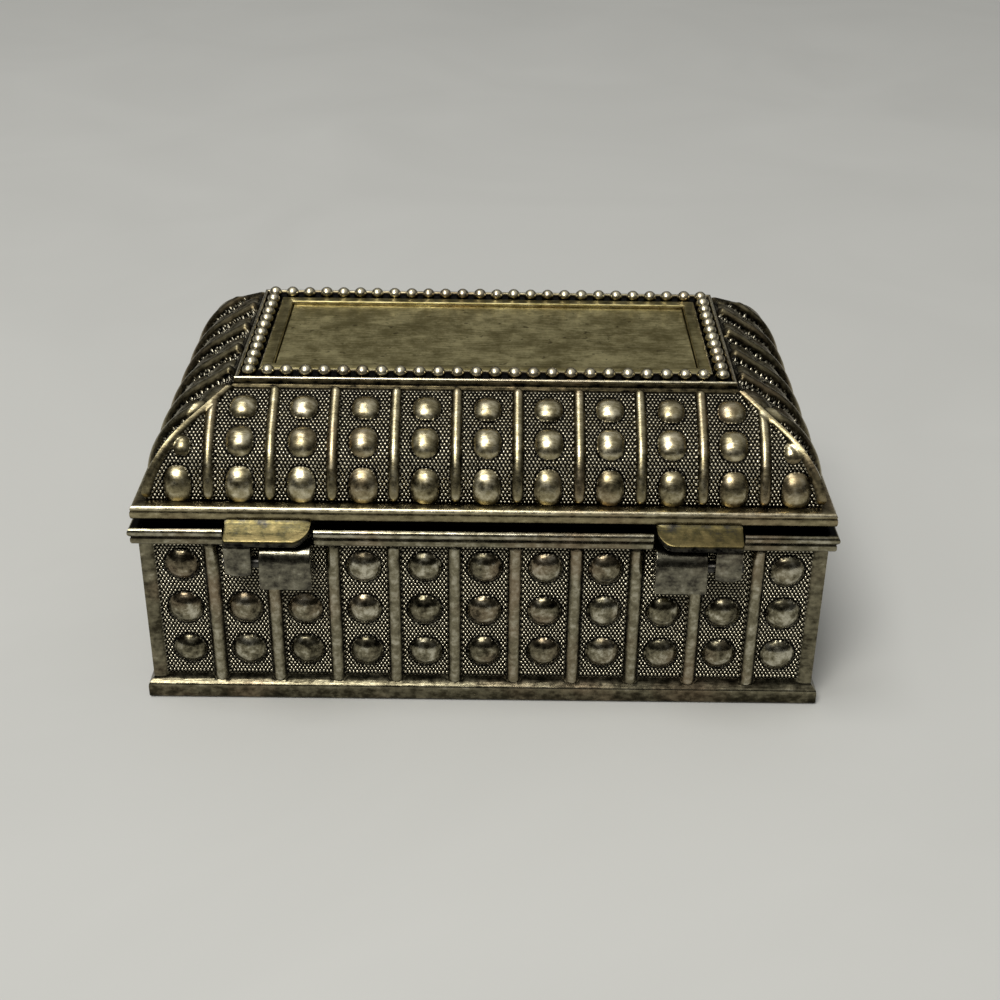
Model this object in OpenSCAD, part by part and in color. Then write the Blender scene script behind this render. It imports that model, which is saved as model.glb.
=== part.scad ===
// Small cast metal box with a hinged hipped lid, velvet lining and a plain plate on top.
// The hinge side faces -Y, the front faces +Y, and the underside of the plinth lies at Z = 0.

/* [Overall] */
// Width across the lid's rim
box_w = 100; // [90:1:120]
// Depth across the lid's rim
box_d = 61.5; // [56:0.5:76]
// Height of the plane where the lid rests on the base
seat_h = 31.2; // [30:0.2:38]
// Thickness of the cast walls
wall_t = 1.6; // [1.2:0.1:1.8]

/* [Lid] */
// Radius of the lid's rounded shoulder, measured over its ribs
shoulder_r = 13.3; // [12.8:0.1:14]
// Angle of the straight slope above the shoulder
slope_deg = 31.2; // [30:0.2:33]
// Height of the lid's ribs over its ground
lid_rib_h = 0.7; // [0.4:0.1:0.9]
// Width of the lid's ribs
lid_rib_w = 1.55; // [1.2:0.05:2]
// Diameter of the beads round the plate
bead_d = 1.7; // [1.3:0.1:1.9]
// Thickness of the plain plate let into the top
plate_t = 0.6; // [0.4:0.1:0.7]

/* [Relief] */
// Columns of bosses along each long side
long_cols = 11; // [9:2:13]
// Columns of bosses along each short side
short_cols = 7; // [5:2:7]
// Rows of bosses on the base
base_rows = 3; // [2:1:3]
// Diameter of the bosses on the base
boss_d = 4.6; // [3.6:0.1:5]
// Height of the bosses over the ground
boss_h = 1.5; // [1:0.1:1.7]
// Width of the bosses on the lid
lid_boss_w = 3.7; // [3:0.1:4]
// Width of the ribs on the base
rib_w = 1.9; // [1.4:0.1:2.2]
// Height of the ribs on the base over the ground
rib_h = 0.9; // [0.6:0.1:1]
// Width of the plain posts at the corners of the base
post_w = 1.8; // [1.5:0.1:2.2]

/* [Hinges] */
// Distance from the middle of the box to the inner end of each hinge
hinge_in = 24.4; // [20:0.2:26]
// Length of a base knuckle
base_knuckle_l = 7.9; // [6.5:0.1:9]
// Length of a lid knuckle
lid_knuckle_l = 4.2; // [3.6:0.1:5]
// Gap between the two knuckles
knuckle_gap = 0.7; // [0.3:0.1:1]
// Outer radius of the knuckles
knuckle_r = 1.95; // [1.8:0.05:2.05]
// Radius of the hinge pins
pin_r = 0.8; // [0.6:0.05:0.9]
// Running clearance between a pin and its lid knuckle, on the radius
pin_clear = 0.05; // [0.02:0.01:0.1]

/* [Lining] */
// Thickness of the velvet-covered cards on the walls
lining_t = 1.2; // [0.8:0.1:1.6]
// Thickness of the cards under the cushions
board_t = 1; // [0.6:0.1:1.2]
// Height of the cushions over their cards
cushion_t = 3.2; // [2.4:0.1:4]
// Height of the padded panel in the lid
lid_cushion_t = 2.4; // [1.8:0.1:3]
// Thickness of the felt under the base
felt_t = 0.8; // [0.5:0.1:0.9]

/* [Hidden] */
$fn = 48;

// Colours of the antiqued silver plate, the darker base, the velvet, the cards and the felt
lid_silver = [0.62, 0.59, 0.50];
base_silver = [0.48, 0.47, 0.42];
plate_silver = [0.53, 0.50, 0.38];
pin_steel = [0.45, 0.44, 0.42];
velvet_red = [0.36, 0.03, 0.06];
card_grey = [0.55, 0.50, 0.42];
felt_black = [0.06, 0.06, 0.07];

// Distances outward from the line of beads, which is a rectangle inside the lid's rim
rim_reach = 15.65;
bead_x = box_w / 2 - rim_reach;
bead_y = box_d / 2 - rim_reach;
ground_reach = 14.5;
wall_reach = 14.95;
base_rim_reach = 16.2;
plinth_reach = 15.8;
lip_reach = 14.3;
table_reach = 1.8;

// Centre of the shoulder's arc: outward from the beads, and its height
shoulder_s = 1.1;
shoulder_z = seat_h + 0.3;
lid_ground_r = shoulder_r - lid_rib_h;
arc_steps = 8;

// Top of the lid: the table that carries the beads, and the bed of the plate
band_reach = 2.75;
band_h = 1.55;
table_z = shoulder_z + lid_ground_r / cos(slope_deg) + (shoulder_s - band_reach) * tan(slope_deg) + band_h;
bead_z = table_z + 0.35;
bead_pitch = 2.745;
frame_in = 3.15;
plate_bed_z = table_z - 1.15;
lid_rim_t = 2.1;

// Heights on the base
plinth_h = 2.7;
panel_low = 4.15;
panel_high = seat_h - 4.8;
base_rim_h = seat_h - 1.7;
panel_mid = (panel_low + panel_high) / 2 + 0.8;
row_pitch = 7.35;
floor_under = felt_t;
floor_t = wall_t;
floor_z = floor_under + floor_t;
plate_fit = 0.1;
felt_gap = 0.4;

// Columns of bosses, with a rib between each two
long_pitch = 2 * (bead_x + ground_reach) / (long_cols + 0.18);
short_pitch = 2 * (bead_y + ground_reach) / (short_cols + 0.19);

// Rows of the lid's bosses: distance down the slope from the start of the arc, and extra length
lid_boss_rows = [[-2.8, 0], [2.8, 0.5], [8.9, 1.4]];
lid_boss_rise = 1.1;
corner_drop = 0.9;
corner_boss_w = 2.7;

// Hinge axis
pin_y = -(bead_y + 16.75);
pin_z = seat_h - 6.5;
foot_drop = 3.3;
leaf_front = knuckle_r;
leaf_low = 3.4;
leaf_arris = 4.9;
hinge_out = hinge_in + base_knuckle_l + knuckle_gap + lid_knuckle_l;
notch_gap = 0.3;

// Inner faces of the walls
cavity_x = bead_x + ground_reach - wall_t - 0.2;
cavity_y = bead_y + ground_reach - wall_t - 0.2;
lining_top = seat_h - 0.2;
pad_gap = lining_t + 0.4;
lid_inner_r = lid_ground_r - wall_t + 0.1;
lid_lining_t = 0.9;
lid_top_under = plate_bed_z - 1.3;
lid_pad_z = lid_top_under - board_t;
lid_pad_gap = 0.4;
lid_pad_reach = shoulder_s - lid_pad_gap
    + (shoulder_z + (lid_inner_r - lid_lining_t) / cos(slope_deg) - lid_top_under) / tan(slope_deg);

// Point of the lid's ground at distance d down the slope: outward distance, height, tilt of its normal
function lid_point(r, d) =
    let (t = slope_deg + max(d, 0) / r * 180 / PI, up = min(d, 0))
    [
        shoulder_s + r * sin(t) + up * cos(slope_deg),
        shoulder_z + r * cos(t) - up * sin(slope_deg),
        t
    ];

// Right half of the lid's cross-section: up the shoulder's arc, then the straight slope to a flat top
function lid_half(r, top) =
    let (top_s = shoulder_s + (shoulder_z + r / cos(slope_deg) - top) / tan(slope_deg))
    concat(
        [[shoulder_s + r, seat_h]],
        [for (i = [0:arc_steps])
            let (t = 90 - i / arc_steps * (90 - slope_deg))
            [shoulder_s + r * sin(t), shoulder_z + r * cos(t)]],
        [[top_s, top]]
    );

// Hipped lid solid whose shoulder has radius r, up to a flat top
module hipped_lid(r, top) {
    moulding(lid_half(r, top));
}

// Outline for one direction: the given points on the right and their mirror image on the left
function both_sides(points, half) = concat(
    [for (p = points) [half + p[0], p[1]]],
    [for (i = [len(points) - 1:-1:0]) [-half - points[i][0], points[i][1]]]
);

// Moulding that runs round the box, mitred at its corners: points give outward distance and height
module moulding(points) {
    intersection() {
        rotate([90, 0, 90])
            linear_extrude(height = 2 * bead_x + 60, center = true)
                polygon(both_sides(points, bead_y));
        rotate([90, 0, 0])
            linear_extrude(height = 2 * bead_y + 60, center = true)
                polygon(both_sides(points, bead_x));
    }
}

// Block that reaches a distance beyond the beads on all four sides
module block(reach, low, high) {
    translate([-bead_x - reach, -bead_y - reach, low])
        cube([2 * (bead_x + reach), 2 * (bead_y + reach), high - low]);
}

// Round dome that stands a given height out of a wall which faces +Y
module dome(diameter, height) {
    ball_r = (height * height + diameter * diameter / 4) / (2 * height);
    translate([0, height - ball_r, 0])
        sphere(ball_r);
}

// Centres of the columns and of the ribs between them
function columns(n, pitch) = [for (i = [0:n - 1]) (i - (n - 1) / 2) * pitch];
function rib_places(n, pitch) = [for (i = [0:n - 2]) (i - (n - 2) / 2) * pitch];

// Bosses of one side of the base, leaving out the top row where a hinge stands in front
module base_bosses(n, pitch, ground, hinges) {
    for (x = columns(n, pitch))
        for (row = [0:base_rows - 1]) {
            z = panel_mid + (row - (base_rows - 1) / 2) * row_pitch;
            behind = hinges && row == base_rows - 1
                && abs(x) > hinge_in - boss_d / 2 && abs(x) < hinge_out + boss_d / 2;
            if (!behind)
                translate([x, ground, z])
                    dome(boss_d, boss_h);
        }
}

// Bosses of one side of the lid, smaller and lower where a hip is close; a long boss is two domes in one
module lid_bosses(n, pitch, half, out) {
    for (x = columns(n, pitch))
        for (row = lid_boss_rows) {
            tight = abs(x) > half + lid_point(lid_ground_r, row[0])[0] - lid_boss_w / 2;
            at = lid_point(lid_ground_r, row[0] + (tight ? corner_drop : 0));
            width = tight ? corner_boss_w : lid_boss_w;
            if (abs(x) < half + at[0])
                translate([x, out + at[0], at[1]])
                    rotate([90 - at[2], 0, 0])
                        for (shift = row[1] > 0 ? [-row[1] / 2, row[1] / 2] : [0])
                            translate([0, 0, shift])
                                dome(width, lid_boss_rise * width / lid_boss_w);
        }
}

// Ribs that cross the box from side to side, as thin slabs
module slabs(places, width, span) {
    for (x = places)
        translate([x - width / 2, -span, 0])
            cube([width, 2 * span, seat_h + 30]);
}

// Base: cast tray with its plinth, posts, ribs, bosses, seat lip and hinge knuckles
module base_casting() {
    color(base_silver)
    difference() {
        union() {
            block(ground_reach, 0, base_rim_h);
            block(lip_reach, base_rim_h - 1, seat_h);
            moulding([
                [plinth_reach - 0.15, 0], [plinth_reach, 0.3], [plinth_reach, plinth_h - 0.3],
                [plinth_reach - 0.3, plinth_h], [ground_reach + 0.6, plinth_h + 0.6],
                [ground_reach - 0.5, panel_low + 0.5]
            ]);
            difference() {
                moulding([
                    [ground_reach - 0.5, panel_high - 0.5], [ground_reach + 0.6, panel_high + 0.7],
                    [base_rim_reach - 0.4, panel_high + 1.2], [base_rim_reach, panel_high + 2],
                    [base_rim_reach, base_rim_h - 0.7], [base_rim_reach - 0.3, base_rim_h - 0.3],
                    [lip_reach - 0.5, base_rim_h + 0.1]
                ]);
                hinge_notches();
            }
            corner_posts();
            base_ribs();
            for (turn = [0, 180])
                rotate([0, 0, turn])
                    base_bosses(long_cols, long_pitch, bead_y + ground_reach, turn == 180);
            for (turn = [90, 270])
                rotate([0, 0, turn])
                    base_bosses(short_cols, short_pitch, bead_x + ground_reach, false);
            for (side = [-1, 1])
                base_knuckle(side);
        }
        translate([-cavity_x, -cavity_y, floor_z])
            cube([2 * cavity_x, 2 * cavity_y, seat_h]);
        block(ground_reach - wall_t, -1, floor_under);
        for (side = [-1, 1])
            pin_bore(side, pin_r);
    }
}

// Plain upright posts at the four corners of the base
module corner_posts() {
    for (sx = [-1, 1])
        for (sy = [-1, 1])
            scale([sx, sy, 1])
                translate([bead_x + wall_reach - post_w, bead_y + wall_reach - post_w, 1])
                    cube([post_w, post_w, base_rim_h - 2]);
}

// Upright ribs on all four sides of the base
module base_ribs() {
    intersection() {
        union() {
            slabs(rib_places(long_cols, long_pitch), rib_w, bead_y + 20);
            rotate([0, 0, 90])
                slabs(rib_places(short_cols, short_pitch), rib_w, bead_x + 20);
        }
        union() {
            translate([-bead_x - ground_reach - rib_h, -bead_y - ground_reach + 1, 1])
                cube([2 * (bead_x + ground_reach + rib_h), 2 * (bead_y + ground_reach - 1), panel_high - 1]);
            translate([-bead_x - ground_reach + 1, -bead_y - ground_reach - rib_h, 1])
                cube([2 * (bead_x + ground_reach - 1), 2 * (bead_y + ground_reach + rib_h), panel_high - 1]);
        }
    }
}

// Gaps in the base's upper rim that let the lid's leaves through
module hinge_notches() {
    for (side = [-1, 1])
        translate([side * (hinge_in + hinge_out) / 2, -bead_y - ground_reach - 5, seat_h - 5])
            cube([hinge_out - hinge_in + 2 * notch_gap, 10, 12], center = true);
}

// Base knuckle: half-round above, square foot below, cast on the wall
module base_knuckle(side) {
    low_x = side > 0 ? hinge_in : -hinge_in - base_knuckle_l;
    depth = -bead_y - ground_reach + 0.5 - pin_y;
    translate([low_x, pin_y, pin_z]) {
        rotate([0, 90, 0])
            cylinder(h = base_knuckle_l, r = knuckle_r);
        cube([base_knuckle_l, depth, knuckle_r]);
        translate([0, -knuckle_r, -foot_drop])
            cube([base_knuckle_l, depth + knuckle_r, foot_drop]);
    }
}

// Bore for a hinge pin, from the outer end of the hinge inward
module pin_bore(side, r) {
    low_x = side > 0 ? hinge_in + 1 : -hinge_out - 1;
    translate([low_x, pin_y, pin_z])
        rotate([0, 90, 0])
            cylinder(h = hinge_out - hinge_in, r = r);
}

// Lid: cast hipped shell with its rim, ribs, bosses, beaded table and hinge leaves
module lid_casting() {
    color(lid_silver)
    difference() {
        union() {
            hipped_lid(lid_ground_r, table_z - 0.4);
            lid_rim();
            lid_table();
            lid_ribs();
            for (turn = [0, 180])
                rotate([0, 0, turn])
                    lid_bosses(long_cols, long_pitch, bead_x, bead_y);
            for (turn = [90, 270])
                rotate([0, 0, turn])
                    lid_bosses(short_cols, short_pitch, bead_y, bead_x);
            for (side = [-1, 1])
                hinge_leaf(side);
        }
        hipped_lid(lid_inner_r, lid_top_under);
        block(shoulder_s + lid_inner_r, seat_h - 1, seat_h + 0.01);
        translate([0, 0, plate_bed_z + 5])
            cube([2 * (bead_x - frame_in), 2 * (bead_y - frame_in), 10], center = true);
        for (side = [-1, 1])
            pin_bore(side, pin_r + pin_clear);
    }
}

// Rim round the foot of the lid
module lid_rim() {
    moulding([
        [rim_reach - 0.3, seat_h], [rim_reach, seat_h + 0.35], [rim_reach - 0.1, seat_h + 1.3],
        [rim_reach - 0.25, seat_h + lid_rim_t - 0.3], [rim_reach - 0.7, seat_h + lid_rim_t],
        [shoulder_s + lid_ground_r - 0.3, seat_h + lid_rim_t + 0.2]
    ]);
}

// Flat table on top: cove, outer ridge, bed with its beads, and the frame of the plate
module lid_table() {
    moulding([
        [band_reach + 0.3, table_z - band_h - 0.6], [band_reach, table_z - band_h],
        [band_reach - 0.6, table_z - 1.2], [table_reach + 0.05, table_z - 0.7], [table_reach, table_z - 0.1], [table_reach - 0.1, table_z]
    ]);
    across = round(2 * bead_x / bead_pitch);
    down = round(2 * bead_y / bead_pitch);
    for (i = [0:across])
        for (side = [-1, 1])
            translate([(i / across - 0.5) * 2 * bead_x, side * bead_y, bead_z])
                sphere(bead_d / 2);
    for (i = [1:down - 1])
        for (side = [-1, 1])
            translate([side * bead_x, (i / down - 0.5) * 2 * bead_y, bead_z])
                sphere(bead_d / 2);
}

// Ribs over the shoulders, and the heavier ribs along the hips
module lid_ribs() {
    intersection() {
        hipped_lid(shoulder_r, table_z - 1);
        union() {
            slabs(rib_places(long_cols, long_pitch), lid_rib_w, bead_y + 20);
            rotate([0, 0, 90])
                slabs(rib_places(short_cols, short_pitch), lid_rib_w, bead_x + 20);
            for (sx = [-1, 1])
                for (sy = [-1, 1])
                    translate([sx * bead_x, sy * bead_y, seat_h])
                        rotate([0, 0, atan2(sy, sx)])
                            translate([0, -1.1, 0])
                                cube([24, 2.2, 20]);
        }
        translate([-box_w, -box_d, seat_h + lid_rim_t - 0.2])
            cube([2 * box_w, 2 * box_d, 30]);
    }
}

// Leaf that comes down from the lid's rim, with the lid knuckle at its outer end
module hinge_leaf(side) {
    leaf_l = hinge_out - hinge_in;
    low_x = side > 0 ? hinge_in : -hinge_out;
    knuckle_x = side > 0 ? hinge_out - lid_knuckle_l : -hinge_out;
    seat = seat_h - pin_z;
    translate([low_x, pin_y, pin_z])
        rotate([90, 0, 90])
            linear_extrude(height = leaf_l)
                polygon([
                    [-leaf_front, leaf_low], [-leaf_front, leaf_arris], [-leaf_front + 0.4, leaf_arris + 0.45],
                    [-leaf_front + 1.6, leaf_arris + 0.9], [0.9, seat + 0.1], [1.4, seat + 0.6],
                    [1.9, seat + 0.6], [1.9, leaf_low]
                ]);
    translate([knuckle_x, pin_y, pin_z]) {
        rotate([0, 90, 0])
            cylinder(h = lid_knuckle_l, r = knuckle_r);
        translate([0, -knuckle_r, 0])
            cube([lid_knuckle_l, 2 * knuckle_r - 0.05, leaf_low + 0.3]);
    }
}

// Plain plate let into the frame on top of the lid
module engraving_plate() {
    color(plate_silver)
    translate([0, 0, plate_bed_z + plate_t / 2])
        cube([2 * (bead_x - frame_in - plate_fit), 2 * (bead_y - frame_in - plate_fit), plate_t], center = true);
}

// Straight pin pressed into the base knuckle and running in the lid knuckle
module hinge_pin(side) {
    low_x = side > 0 ? hinge_in + 1 : -hinge_out + 0.2;
    color(pin_steel)
    translate([low_x, pin_y, pin_z])
        rotate([0, 90, 0])
            cylinder(h = hinge_out - hinge_in - 1.2, r = pin_r);
}

module left_hinge_pin() { hinge_pin(-1); }
module right_hinge_pin() { hinge_pin(1); }

// Felt sheet glued into the hollow under the floor, flush with the edge of the plinth
module base_felt() {
    color(felt_black)
    block(ground_reach - wall_t - felt_gap, 0, felt_t);
}

// Card under the floor cushion
module floor_board() {
    color(card_grey)
    translate([-cavity_x + pad_gap, -cavity_y + pad_gap, floor_z])
        cube([2 * (cavity_x - pad_gap), 2 * (cavity_y - pad_gap), board_t]);
}

// Padded velvet cushion on the floor, with a low crown and drawn-in edges
module floor_cushion() {
    color(velvet_red)
    translate([0, 0, floor_z + board_t])
        crowned_pad(cavity_x - pad_gap, cavity_y - pad_gap, cushion_t);
}

// Pad with a flat underside: upright foot, then a rounded edge up to a gently crowned top
module crowned_pad(half_x, half_y, height) {
    steps = 6;
    slice = 0.1;
    hull() {
        translate([0, 0, slice / 2])
            cube([2 * half_x, 2 * half_y, slice], center = true);
        for (k = [0:steps]) {
            t = k / steps * 90;
            inset = (1 - cos(t)) * height * 1.4;
            translate([0, 0, height * (0.25 + 0.75 * sin(t)) - slice / 2])
                cube([2 * (half_x - inset), 2 * (half_y - inset), slice], center = true);
        }
    }
}

// Velvet-covered card on the inside of a long wall
module long_lining(side) {
    color(velvet_red)
    translate([-cavity_x, side > 0 ? cavity_y - lining_t : -cavity_y, floor_z])
        cube([2 * cavity_x, lining_t, lining_top - floor_z]);
}

// Velvet-covered card on the inside of a short wall, between the two long ones
module short_lining(side) {
    color(velvet_red)
    translate([side > 0 ? cavity_x - lining_t : -cavity_x, -cavity_y + lining_t, floor_z])
        cube([lining_t, 2 * (cavity_y - lining_t), lining_top - floor_z]);
}

module front_lining() { long_lining(1); }
module rear_lining() { long_lining(-1); }
module left_lining() { short_lining(-1); }
module right_lining() { short_lining(1); }

// Velvet shell glued inside the lid's slopes
module lid_lining() {
    color(velvet_red)
    difference() {
        intersection() {
            hipped_lid(lid_inner_r, lid_top_under);
            block(shoulder_s + lid_inner_r, seat_h + 1, lid_top_under);
        }
        hipped_lid(lid_inner_r - lid_lining_t, lid_top_under + 5);
    }
}

// Card under the top of the lid
module lid_board() {
    color(card_grey)
    block(lid_pad_reach, lid_pad_z, lid_top_under);
}

// Padded velvet panel that hangs under the card in the lid
module lid_cushion() {
    color(velvet_red)
    translate([0, 0, lid_pad_z])
        mirror([0, 0, 1])
            crowned_pad(bead_x + lid_pad_reach, bead_y + lid_pad_reach, lid_cushion_t);
}

base_casting();
lid_casting();
engraving_plate();
left_hinge_pin();
right_hinge_pin();
base_felt();
floor_board();
floor_cushion();
front_lining();
rear_lining();
left_lining();
right_lining();
lid_lining();
lid_board();
lid_cushion();
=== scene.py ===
"""Looks of a small cast rosary box: antiqued silver plate outside, wine red velvet inside.

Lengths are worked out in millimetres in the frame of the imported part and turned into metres
when a mesh is made. The hinge side faces -Y, the front faces +Y, and the box stands on Z = 0.
Most outlines are lists of (reach, height): reach is the distance outward from the rectangle
that the beads follow, so one outline carried round that rectangle gets mitred corners.
"""

import logging
import math
from dataclasses import dataclass, field
from enum import Enum
from typing import Callable

import bmesh
import bpy
import numpy as np
from mathutils import Matrix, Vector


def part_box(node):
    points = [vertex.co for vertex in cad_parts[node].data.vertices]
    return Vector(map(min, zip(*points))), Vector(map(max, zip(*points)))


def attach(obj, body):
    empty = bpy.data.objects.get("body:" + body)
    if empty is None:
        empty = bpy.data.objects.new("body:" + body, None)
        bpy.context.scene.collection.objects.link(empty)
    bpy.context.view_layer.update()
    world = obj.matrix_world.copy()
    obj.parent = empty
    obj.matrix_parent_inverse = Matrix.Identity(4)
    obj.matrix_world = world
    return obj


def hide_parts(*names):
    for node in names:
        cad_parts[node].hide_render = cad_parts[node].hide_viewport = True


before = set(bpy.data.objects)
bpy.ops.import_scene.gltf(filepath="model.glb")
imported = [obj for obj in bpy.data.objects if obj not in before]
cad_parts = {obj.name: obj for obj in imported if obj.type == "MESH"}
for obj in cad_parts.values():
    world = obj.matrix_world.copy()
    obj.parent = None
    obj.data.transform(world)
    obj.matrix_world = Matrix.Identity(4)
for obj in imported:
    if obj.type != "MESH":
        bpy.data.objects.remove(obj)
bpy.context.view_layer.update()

MM = 0.001
# Beads along and across the top, and the distance from their rectangle in to the plate's edge
BEADS_ALONG, BEADS_ACROSS = 26, 12
PLATE_INSET = 3.25
# The cushions are this many times larger while their cloth is simulated
SIM_SCALE = 20
LOG = logging.getLogger("rosary_box")


class Side(Enum):
    """The four sides of the box, each with the direction along it and the direction out of it."""

    HINGE = ((1.0, 0.0), (0.0, -1.0))
    RIGHT = ((0.0, 1.0), (1.0, 0.0))
    FRONT = ((-1.0, 0.0), (0.0, 1.0))
    LEFT = ((0.0, -1.0), (-1.0, 0.0))

    @property
    def is_long(self) -> bool:
        """True for the hinge side and the front."""
        return self in (Side.HINGE, Side.FRONT)


@dataclass(frozen=True)
class BeadLine:
    """Half sizes of the rectangle that the beads follow, in millimetres."""

    half_x: float
    half_y: float

    @classmethod
    def from_frame(cls) -> "BeadLine":
        """Reads the rectangle from the plate, whose edge lies 3.25 mm inside it."""
        low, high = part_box("engraving_plate")
        return cls((high.x - low.x) / MM / 2 + PLATE_INSET, (high.y - low.y) / MM / 2 + PLATE_INSET)

    def half_along(self, side: Side) -> float:
        """Half the length of the rectangle along one side."""
        return self.half_x if side.is_long else self.half_y

    def half_across(self, side: Side) -> float:
        """Distance from the middle of the box to the rectangle on one side."""
        return self.half_y if side.is_long else self.half_x

    def place(self, side: Side, u: np.ndarray, reach: np.ndarray, z: np.ndarray) -> np.ndarray:
        """Points of one side: u along the side, reach outward from the bead rectangle, z up.

        Args:
            side: the side of the box.
            u: distance along the side from its middle, in millimetres.
            reach: distance outward from the bead rectangle.
            z: height.

        Returns:
            An array of points with x, y and z in its last axis.
        """
        along, outward = np.array(side.value[0]), np.array(side.value[1])
        u, reach, z = np.broadcast_arrays(u, reach, z)
        flat = u[..., None] * along + (reach + self.half_across(side))[..., None] * outward
        return np.concatenate([flat, z[..., None]], axis=-1)


def linear(hexa: str) -> tuple[float, float, float, float]:
    """Turns an sRGB colour such as "b4ab92" into linear red, green, blue and alpha.

    Args:
        hexa: six hexadecimal digits.

    Returns:
        The linear colour that Blender's sockets take.
    """
    parts = [int(hexa[i : i + 2], 16) / 255 for i in (0, 2, 4)]
    return tuple(p / 12.92 if p <= 0.04045 else ((p + 0.055) / 1.055) ** 2.4 for p in parts) + (1.0,)


def ramp(x: np.ndarray, low: float, high: float) -> np.ndarray:
    """Smooth step from 0 at low to 1 at high, t squared times (3 - 2 t).

    Args:
        x: values to test.
        low: value at which the step starts.
        high: value at which it ends; it may be below low.

    Returns:
        The step, from 0 to 1.
    """
    t = np.clip((x - low) / (high - low), 0.0, 1.0)
    return t * t * (3.0 - 2.0 * t)


def soften(points: np.ndarray, reach: float, steps: int = 4) -> np.ndarray:
    """Rounds the inner corners of an open outline with quadratic curves.

    Each corner P between A and B becomes (1-t)^2 P0 + 2 t (1-t) P + t^2 P1, where P0 and P1
    lie on its two edges at the given reach, or at 45 per cent of a shorter edge.

    Args:
        points: the outline, one row per point; columns after the first two are carried along.
        reach: how far from the corner the curve starts.
        steps: pieces of each curve.

    Returns:
        The outline with its corners rounded and its two ends kept.
    """
    points = np.asarray(points, float)
    back = points[:-2] - points[1:-1]
    ahead = points[2:] - points[1:-1]
    len_back = np.linalg.norm(back[:, :2], axis=1, keepdims=True)
    len_ahead = np.linalg.norm(ahead[:, :2], axis=1, keepdims=True)
    cut = np.minimum(reach, 0.45 * np.minimum(len_back, len_ahead))
    first = points[1:-1] + back / len_back * cut
    last = points[1:-1] + ahead / len_ahead * cut
    t = np.linspace(0, 1, steps + 1)[None, :, None]
    curve = (1 - t) ** 2 * first[:, None] + 2 * t * (1 - t) * points[1:-1, None] + t**2 * last[:, None]
    return np.concatenate([points[:1], curve.reshape(-1, points.shape[1]), points[-1:]])


def grid_quads(rows: int, cols: int, start: int = 0) -> np.ndarray:
    """Four-cornered faces of a grid of points that is stored row by row.

    Args:
        rows: rows of points.
        cols: points in a row.
        start: index of the first point.

    Returns:
        One row of four indices per face, anticlockwise where rows go up and columns go right.
    """
    first = start + (np.arange(rows - 1)[:, None] * cols + np.arange(cols - 1)[None, :]).ravel()
    return np.stack([first, first + 1, first + 1 + cols, first + cols], axis=1)


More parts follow.
